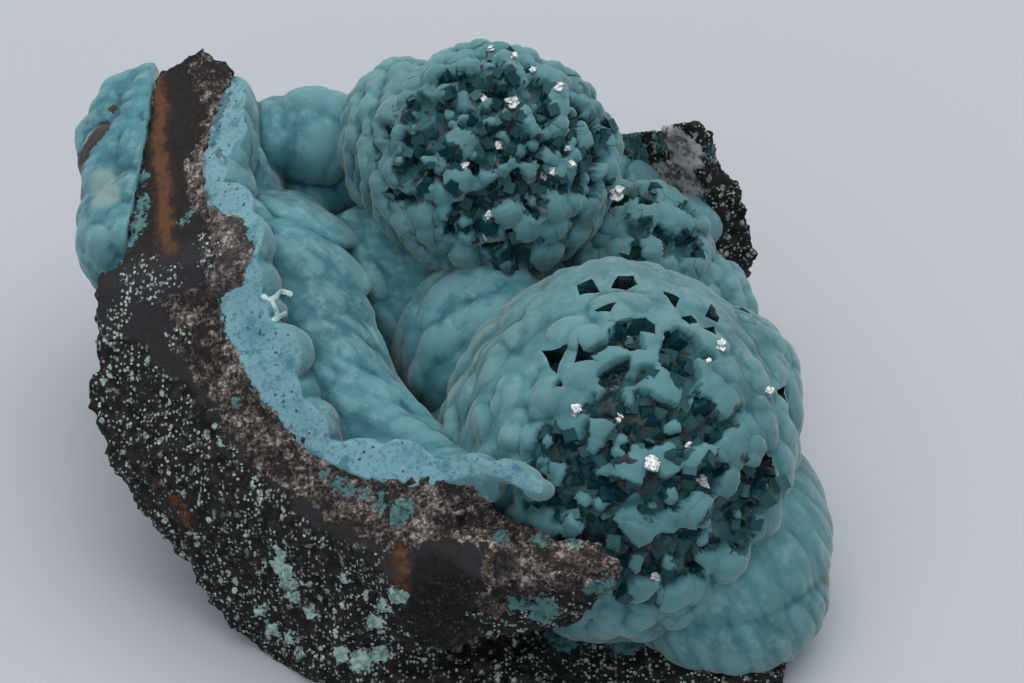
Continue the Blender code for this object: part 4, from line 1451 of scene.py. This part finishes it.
def wave(points, grain, seed=0.0):
    """Smooth noise from -1 to 1 at each point, with its grain in millimetres."""
    shift = Vector((seed, seed, seed))
    return np.array([noise.noise(Vector(point) / (grain * MM) + shift) for point in points])


rock = new_object("rock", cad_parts["matrix_rock"].data.copy())
shape = bmesh.new()
shape.from_mesh(rock.data)
bmesh.ops.remove_doubles(shape, verts=shape.verts, dist=0.001 * MM)
shape.to_mesh(rock.data)
shape.free()
fuse(rock, ROCK_VOXEL, 2)
rock_skin = skin_of(rock)
hollow_skin = skin_of(hollow)
tell(rock)

# %% Choose the patches of the rock
# The rust streak and the patches, by pixel: the patches with their radius in millimetres.
RUST_STREAK = [(156, 82), (162, 105), (158, 130), (158, 160), (166, 185), (164, 215), (170, 250)]
RUST_PATCHES = [
    ((399, 553), 0.9), ((402, 568), 1.1), ((403, 586), 1.0), ((175, 500), 0.9), ((188, 520), 0.8),
    ((160, 485), 0.6), ((168, 515), 0.6), ((182, 508), 0.9),
]
CHIP_PATCHES = [
    ((138, 272), 2.0), ((150, 262), 1.2), ((150, 286), 2.0), ((172, 277), 1.4), ((135, 292), 1.8),
    ((213, 246), 1.6), ((205, 262), 0.9), ((200, 238), 0.8), ((120, 312), 1.5), ((112, 330), 1.8),
    ((178, 338), 1.5),
]
TEAL_PATCHES = [
    ((139, 80), 0.9), ((137, 100), 0.8), ((139, 130), 1.0), ((137, 155), 0.9), ((141, 180), 1.0),
    ((142, 205), 1.1), ((136, 225), 1.2), ((130, 240), 1.0), ((189, 212), 0.45), ((184, 222), 0.4),
    ((632, 140), 1.8), ((648, 130), 1.3), ((640, 155), 1.6), ((660, 142), 1.0), ((700, 200), 0.7),
    ((690, 218), 0.9), ((712, 150), 0.8), ((404, 508), 0.9), ((398, 518), 0.8), ((350, 488), 0.6),
    ((325, 476), 0.6), ((338, 482), 0.6), ((365, 494), 0.7), ((381, 502), 0.7), ((500, 537), 0.9),
    ((540, 540), 0.8), ((575, 540), 0.9), ((235, 402), 0.5), ((520, 600), 1.2), ((592, 610), 3.0),
    ((565, 632), 2.4), ((625, 640), 2.2), ((600, 590), 1.8), ((545, 610), 1.4),
]
BAND_PATCHES = [
    ((430, 500), 4), ((480, 510), 4), ((530, 540), 4), ((590, 560), 4), ((510, 570), 3),
    ((400, 520), 3.5), ((620, 560), 3), ((200, 62), 1.6), ((204, 80), 1.6), ((207, 96), 1.0),
    ((495, 602), 2.4), ((468, 640), 2.0), ((525, 588), 2.6), ((560, 585), 2.4),
]
# Patches of painted shadow, on the shaded face under the front spur.
PAINTED_SHADOW_PATCHES = [((440, 590), 4.0), ((430, 610), 3.5), ((445, 630), 3.5), ((505, 562), 1.6)]
PALE_PATCHES = [((680, 150), 3.0), ((668, 178), 2.3), ((690, 185), 2.0), ((640, 130), 1.4)]
MINT_PATCHES = [
    ((278, 552), 1.0), ((282, 566), 1.2), ((288, 582), 1.1), ((294, 596), 0.9), ((386, 560), 0.8),
    ((391, 578), 0.8), ((396, 594), 1.1), ((386, 606), 0.9), ((312, 611), 0.8), ((375, 622), 0.9),
    ((341, 656), 1.0), ((360, 660), 1.2), ((380, 653), 1.1), ((253, 408), 0.9), ((276, 466), 0.9),
    ((262, 474), 0.8), ((345, 578), 0.6), ((292, 640), 0.9), ((275, 628), 1.1), ((262, 612), 0.9),
    ((300, 652), 0.8), ((310, 505), 0.7), ((225, 440), 0.6), ((240, 455), 0.7),
]
PATCHES = {
    "band": BAND_PATCHES, "rust": RUST_PATCHES, "mint": MINT_PATCHES, "dark": PAINTED_SHADOW_PATCHES,
    "pale": PALE_PATCHES, "chips": CHIP_PATCHES, "teal": TEAL_PATCHES,
}
print("patches", {name: len(places) for name, places in PATCHES.items()})

# %% Mark the parts of the rock
FIELD_SPAN = 4.0


def inside(depth):
    """A mark as a field, from how deep inside it a point is: one half is its edge."""
    return np.clip(depth / FIELD_SPAN + 0.5, 0, 1)


def patch_field(points, patches, skin):
    """Round patches about the places where their sight lines land."""
    depth = np.full(len(points), -FIELD_SPAN)
    for pixel, radius in patches:
        centre, _ = land(pixel, skin)
        if centre is not None:
            depth = np.maximum(depth, radius - np.linalg.norm(points - np.array(centre), axis=1) / MM)
    return inside(depth)


points = read_points(rock)
normals = read_points(rock, "normal")
pixels = np.array([seen_at(Vector(point)) for point in points])
rough_edge = np.interp(pixels[:, 1], ROUGH_ROWS, ROUGH_COLUMNS) + wave(points, 2.0, 4.0) * 14
fresh = break_share(points, normals) * near(rough_edge - pixels[:, 0], -4, 4)
to_hollow = np.array([hollow_skin.find_nearest(Vector(point))[3] for point in points]) / MM
waver = wave(points, 3.0) * 1.1 + wave(points, 1.0, 5.0) * 0.4
band = inside(np.interp(pixels[:, 1], BAND_ROWS, BAND_WIDTHS) - to_hollow - waver) * fresh
landed = [land(pixel, rock_skin)[0] for pixel in RUST_STREAK]
streak_line = [point for point in landed if point is not None]
streak = polyline_distance(points, streak_line) / MM
rust = inside(1.2 - streak - wave(points, 1.6, 9.0) * 0.6) * break_share(points, normals, ["upper break"])
patches = {name: patch_field(points, places, rock_skin) for name, places in PATCHES.items()}
base_part = near(points[:, 2] / MM, 0.4, 1.6)
rough = (1 - fresh) * (1 - base_part) * near(-to_hollow, -0.8, -0.3)
marks = {
    **patches,
    "band": np.maximum(band, patches["band"]),
    "rust": np.maximum(rust, patches["rust"]),
    "mint": patches["mint"] * (1 - fresh),
    "fresh": fresh, "rough": rough, "lower": break_share(points, normals, ["lower break"]),
}
for name, values in marks.items():
    write_attribute(rock, name, values)
    print(name, "mean", round(float(values.mean()), 3))

# %% Give the rock its grain


def make_rock_tree():
    tree, given = new_tree("rock grain", {
        "Block": "Float", "Block height": "Float", "Crumb": "Float", "Crumb height": "Float",
        "Band height": "Float", "Patch height": "Float",
    })

    def noisy(size, detail):
        scale = maths(tree, "DIVIDE", 1, size)
        inputs = {"Vector": where, "Scale": scale, "Detail": detail, "Roughness": 0.6}
        return maths(tree, "SUBTRACT", add(tree, "ShaderNodeTexNoise", inputs).outputs["Fac"], 0.5)

    where = add(tree, "GeometryNodeInputPosition").outputs[0]
    blocks = noisy(given["Block"], 4.0)
    crumbs = maths(tree, "SUBTRACT", 0.5, cells_of(tree, where, given["Crumb"])["Distance"])
    height = times(tree, blocks, given["Block height"])
    height = plus(tree, height, times(tree, crumbs, given["Crumb height"]))
    rough_height = times(tree, height, read_mark(tree, "rough"))
    band_height = times(tree, crumbs, given["Band height"])
    band_height = plus(tree, band_height, times(tree, noisy(given["Crumb"], 3.0), given["Band height"]))
    band_height = times(tree, band_height, ramp(tree, read_mark(tree, "band"), 0.42, 0.58))
    knobby = times(tree, ramp(tree, read_mark(tree, "mint"), 0.46, 0.56), plus(tree, crumbs, 0.4))
    patch_height = times(tree, given["Patch height"], knobby)
    moved = raise_skin(tree, given["Geometry"], plus(tree, rough_height, band_height, patch_height))
    add(tree, "NodeGroupOutput", {0: store_mark(tree, moved, "crown", plus(tree, crumbs, 0.5))})
    return tree


rock_grain_tree = make_rock_tree()
run_tree(rock, rock_grain_tree, {
    "Block": 2.8 * MM, "Block height": 2.6 * MM, "Crumb": 1.1 * MM, "Crumb height": 0.8 * MM,
    "Band height": 1.0 * MM, "Patch height": 0.9 * MM,
})
points = np.clip(read_points(rock), np.array(cad_low), np.array(cad_high))
rock.data.vertices.foreach_set("co", points.ravel())
rock.data.shade_smooth()
tell(rock)

# %% [markdown]
# ## The finish of the rock
# Fresh breaks are an even slate grey. The outside is near black, dusted with pale specks, and the
# pits between its crumbs go darker still with painted shade. A band of coarse pinkish and white
# grains runs along the crust. Rust, teal and mint patches, pale chips and a few patches of painted
# shadow lie on top of that, each where its stored mark says.

# %% Build the rock material
SLATE, UPPER_BROWN = (0.017, 0.017, 0.020), (0.010, 0.0072, 0.006)
SLATE_DUST = (0.085, 0.085, 0.085)
# The second colour is near-black painted shade, for the pits of the outside and the patches of painted
# shadow.
OUTSIDE, PAINTED_SHADE = (0.014, 0.012, 0.012), (0.002, 0.002, 0.002)
SPECK, SPECK_DEEP = (0.40, 0.46, 0.43), (0.11, 0.14, 0.13)
BAND_PALE, BAND_BROWN, BAND_DARK = (0.34, 0.30, 0.285), (0.085, 0.068, 0.060), (0.012, 0.010, 0.009)
RUST, RUST_DEEP = (0.115, 0.047, 0.019), (0.034, 0.017, 0.011)
TEAL, TEAL_DEEP = (0.090, 0.195, 0.195), (0.022, 0.066, 0.070)
MINT, MINT_DEEP = (0.36, 0.50, 0.455), (0.12, 0.21, 0.195)
PALE, PALE_DEEP = (0.44, 0.41, 0.41), (0.10, 0.085, 0.08)


def cell_value(tree, where, size):
    """A random value for each grain of a size in millimetres."""
    cells = cells_of(tree, where, size)
    return add(tree, "ShaderNodeSeparateColor", {0: cells["Color"]}).outputs[0]


def band_colours(tree, where):
    """The granular band: mostly dark grains, many brown and some pinkish white."""
    grain_tone = times(tree, cell_value(tree, where, 0.3), 0.12)
    fine_tone = times(tree, cloud(tree, where, 0.8, 6.0, 0.8), 0.6)
    tone = plus(tree, grain_tone, fine_tone, times(tree, cloud(tree, where, 3.0, 4.0, 0.6), 0.5))
    base = tinted(tree, ramp(tree, tone, 0.57, 0.65), BAND_DARK, BAND_BROWN)
    return blend(tree, ramp(tree, tone, 0.65, 0.75), base, colour(BAND_PALE))


rock_material, tree, shader, where = start_material("dark rock")
patch = cloud(tree, where, 6.0)
fine = cloud(tree, where, 0.7, 5.0, 0.65)
slate = tinted(tree, stored(tree, "lower"), UPPER_BROWN, SLATE)
slate = blend(tree, ramp(tree, patch, 0.35, 0.7, 0.0, 0.5), slate, colour(BAND_DARK))
slate = blend(tree, ramp(tree, fine, 0.6, 0.85, 0.0, 0.4), slate, colour(SLATE_DUST))
# Painted shade: the pits between the crumbs, where the crown is low, go near black.
outside = tinted(tree, ramp(tree, stored(tree, "crown"), 0.25, 0.75), PAINTED_SHADE, OUTSIDE)
fine_specks = times(tree, grains(tree, where, 0.4, 0.42), ramp(tree, cloud(tree, where, 2.2), 0.36, 0.52))
large_specks = times(tree, grains(tree, where, 0.85, 0.22), ramp(tree, cloud(tree, where, 4.0), 0.38, 0.55))
speck_colour = tinted(tree, ramp(tree, fine, 0.36, 0.60), SPECK_DEEP, SPECK)
outside = blend(tree, maths(tree, "MAXIMUM", fine_specks, large_specks), outside, speck_colour)
base = blend(tree, stored(tree, "fresh"), outside, slate)
base = blend(tree, marked(tree, "band", where), base, band_colours(tree, where))
chip_field = times(tree, marked(tree, "chips", where, 1.0, 1.0), grains(tree, where, 0.42, 0.62))
base = blend(tree, chip_field, base, speck_colour)
pale_colour = tinted(tree, ramp(tree, cloud(tree, where, 1.6, 5.0, 0.7), 0.42, 0.56), PALE_DEEP, PALE)
base = blend(tree, marked(tree, "pale", where, 1.2, 0.9), base, pale_colour)
# Painted shadow where the dark mark lies, on the shaded face under the front spur.
base = blend(tree, ramp(tree, stored(tree, "dark"), 0.35, 0.65, 0.0, 0.9), base, colour(PAINTED_SHADE))
rusty = plus(tree, stored(tree, "rust"), times(tree, maths(tree, "SUBTRACT", fine, 0.5), 0.9))
rust_colour = tinted(tree, ramp(tree, rusty, 0.50, 0.78), RUST_DEEP, RUST)
base = blend(tree, ramp(tree, rusty, 0.38, 0.60, 0.0, 0.9), base, rust_colour)
teal_colour = tinted(tree, ramp(tree, fine, 0.35, 0.65), TEAL_DEEP, TEAL)
base = blend(tree, marked(tree, "teal", where, 0.7, 1.3), base, teal_colour)
mint_colour = tinted(tree, ramp(tree, fine, 0.35, 0.6), MINT_DEEP, MINT)
base = blend(tree, marked(tree, "mint", where, 0.9, 0.9), base, mint_colour)
tree.links.new(base, shader.inputs["Base Color"])
tree.links.new(ramp(tree, fine, 0.3, 0.7, 0.45, 0.85), shader.inputs["Roughness"])
set_inputs(shader, {"Specular IOR Level": 0.22})
link_bump(tree, shader, fine, 0.7, 0.4)
dress(rock, rock_material)
print("rock material", len(tree.nodes), "nodes")

# %% Let the grains of the band lie over the edge of the lip
# How far the band reaches over the lip, in millimetres, against the row of the photograph.
OVERLAP_ROWS = (60, 205, 225, 250, 284, 296, 330, 420, 450, 465, 520)
OVERLAP_WIDTHS = (0.2, 0.3, 3.2, 3.6, 2.6, 0.3, 0.3, 0.5, 0.3, -0.8, -0.8)


def store_overlap(thing):
    points = read_points(thing)
    normals = read_points(thing, "normal")
    rows = np.array([seen_at(Vector(point))[1] for point in points])
    reach = np.interp(rows, OVERLAP_ROWS, OVERLAP_WIDTHS)
    depth = np.array([hollow_skin.find_nearest(Vector(point))[3] for point in points]) / MM
    field = inside(reach - depth - wave(points, 1.6, 3.0) * np.minimum(reach, 0.8))
    field = field * break_share(points, normals)
    write_attribute(thing, "band", field)
    rise = (wave(points, 0.6, 2.0) + 0.3) * 0.4 * MM * (field > 0.5)
    thing.data.vertices.foreach_set("co", (points + normals * rise[:, None]).ravel().astype(np.float32))
    print(thing.name, "share under the band", round(float((field > 0.5).mean()), 3))


store_overlap(lining)
paint_over(lip_material, lambda tree, where: marked(tree, "band", where), band_colours)

# %% [markdown]
# ## The crust on the outside
# A separate patch of the same crust hangs on the outside of the left wall, under the upper break.

# %% Make the outer crust
OUTER_ROUNDING = 40
# The dark spots of the outer crust, by pixel, with their radius in millimetres.
OUTER_SPOTS = [
    ((101, 128), 1.2), ((95, 137), 1.1), ((88, 146), 0.9), ((81, 160), 1.3), ((80, 172), 1.5),
    ((80, 186), 1.5), ((82, 200), 1.3), ((113, 108), 0.6),
]
OUTER_SPOT = (0.022, 0.016, 0.014)
SHELL_PATCHES = [((102, 184), 1.7), ((108, 196), 1.6), ((98, 198), 1.2)]
SHELL = (0.19, 0.29, 0.27)
OUTER_FORMS = {
    "upper mass": ((-35, 20, 33), (7.6, 9.6, 8.6)),
    "lower mass": ((-35, 10, 27), (6.5, 6.5, 8)),
    "ledge": ((-36, 20, 26), (6, 7, 7)),
}
SEAT_CORNERS = [
    (-35.2, 0, 46), (-34, 31, 46), (-35, 0, 22), (-32.5, 31, 24), (-50, 0, 46), (-50, 31, 46),
    (-50, 0, 15), (-50, 31, 15), (-37, 0, 17), (-35, 31, 18),
]
shape = bmesh.new()
add_hull(shape, [place(Vector(corner) - Vector((GAP, 0, 0))) for corner in SEAT_CORNERS])
seat = make_object("seat", shape)
outer = make_forms("outer_crust", OUTER_FORMS.values())
fuse(outer, DOME_VOXEL, 1)
cut(outer, breaks[0])
fuse(outer, DOME_VOXEL, OUTER_ROUNDING)
outer_relief = relief_values(
    lump=3.0, lump_height=0.8, bead=1.2, bead_height=0.16, flow=UP, draw_out=0.5, wander=1.6)
run_tree(outer, relief_tree, outer_relief)
dress(outer, lining_material)
cut(outer, seat, "INTERSECT")
outer.data.shade_smooth()
store_crown(outer)
outer_skin = skin_of(outer)
points = read_points(outer)
write_attribute(outer, "spot", patch_field(points, OUTER_SPOTS, outer_skin))
write_attribute(outer, "shell", patch_field(points, SHELL_PATCHES, outer_skin))
paint_over(lining_material, lambda tree, where: marked(tree, "spot", where), OUTER_SPOT)
paint_over(
    lining_material, lambda tree, where: ramp(tree, stored(tree, "shell"), 0.38, 0.62, 0.0, 0.8), SHELL)
tell(outer)

# %% [markdown]
# ## The pale fleck
# A small white fleck with forked ends lies on the lining near the lip. It is swept: little balls
# follow its strokes over the surface, and a fine remesh makes one thin piece of them.

# %% Make the fleck
# The strokes of the fleck, by pixel.
FLECK_STROKES = [
    [(264, 297), (270, 300), (276, 297), (280, 292), (285, 292), (290, 294)],
    [(272, 301), (276, 310), (278, 317)],
    [(274, 320), (279, 317), (285, 314)],
]
FLECK_RADII, FLECK_STEPS, FLECK_VOXEL = (0.38, 0.38, 0.12), 6, 0.09
FLECK_TINTS = ((0.32, 0.47, 0.48), (0.50, 0.61, 0.62))
lining_skin = skin_of(lining)
shape = bmesh.new()
for stroke in FLECK_STROKES:
    for first, last in zip(stroke, stroke[1:]):
        for step in range(FLECK_STEPS + 1):
            share = step / FLECK_STEPS
            pixel = [a + (b - a) * share for a, b in zip(first, last)]
            point, normal = land(pixel, lining_skin)
            add_ball(shape, Matrix.Translation(point) @ along(normal), FLECK_RADII, 2)
fleck = make_object("pale_fleck", shape)
fuse(fleck, FLECK_VOXEL, 2)
fleck_material, tree, shader, where = start_material("pale fleck")
fleck_tone = tinted(tree, ramp(tree, cloud(tree, where, 0.6), 0.35, 0.7), *FLECK_TINTS)
tree.links.new(fleck_tone, shader.inputs["Base Color"])
set_inputs(shader, {"Roughness": 0.7})
fleck.data.materials.append(fleck_material)
tell(fleck)

# %% [markdown]
# ## What rides on what
# The part has one body, so every piece rides on it. Each piece is listed under a finish and the
# solid that it stands for, and that solid is hidden.

# %% Let the pieces ride
PIECES = {
    "turquoise": {
        "chrysocolla_crust": [lining, smooth_domes, front, skirt, back, shoulder, fleck],
        "chrysocolla_outer_crust": [outer],
    },
    "quartz": {
        "quartz_druse_front": [front_crystals, front_sparks],
        "quartz_druse_back": [back_crystals, shoulder_crystals, back_sparks],
    },
    "rock": {"matrix_rock": [rock]},
}
counts = []
for slot, solids in PIECES.items():
    for solid, pieces in solids.items():
        for piece in pieces:
            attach(piece, "root")
            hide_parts(solid)
            counts.append(triangles(piece))
for helper in [crystal, windows, seat, *cutters]:
    bpy.data.objects.remove(helper, do_unlink=True)
print("pieces", len(counts), "triangles in all", sum(counts))
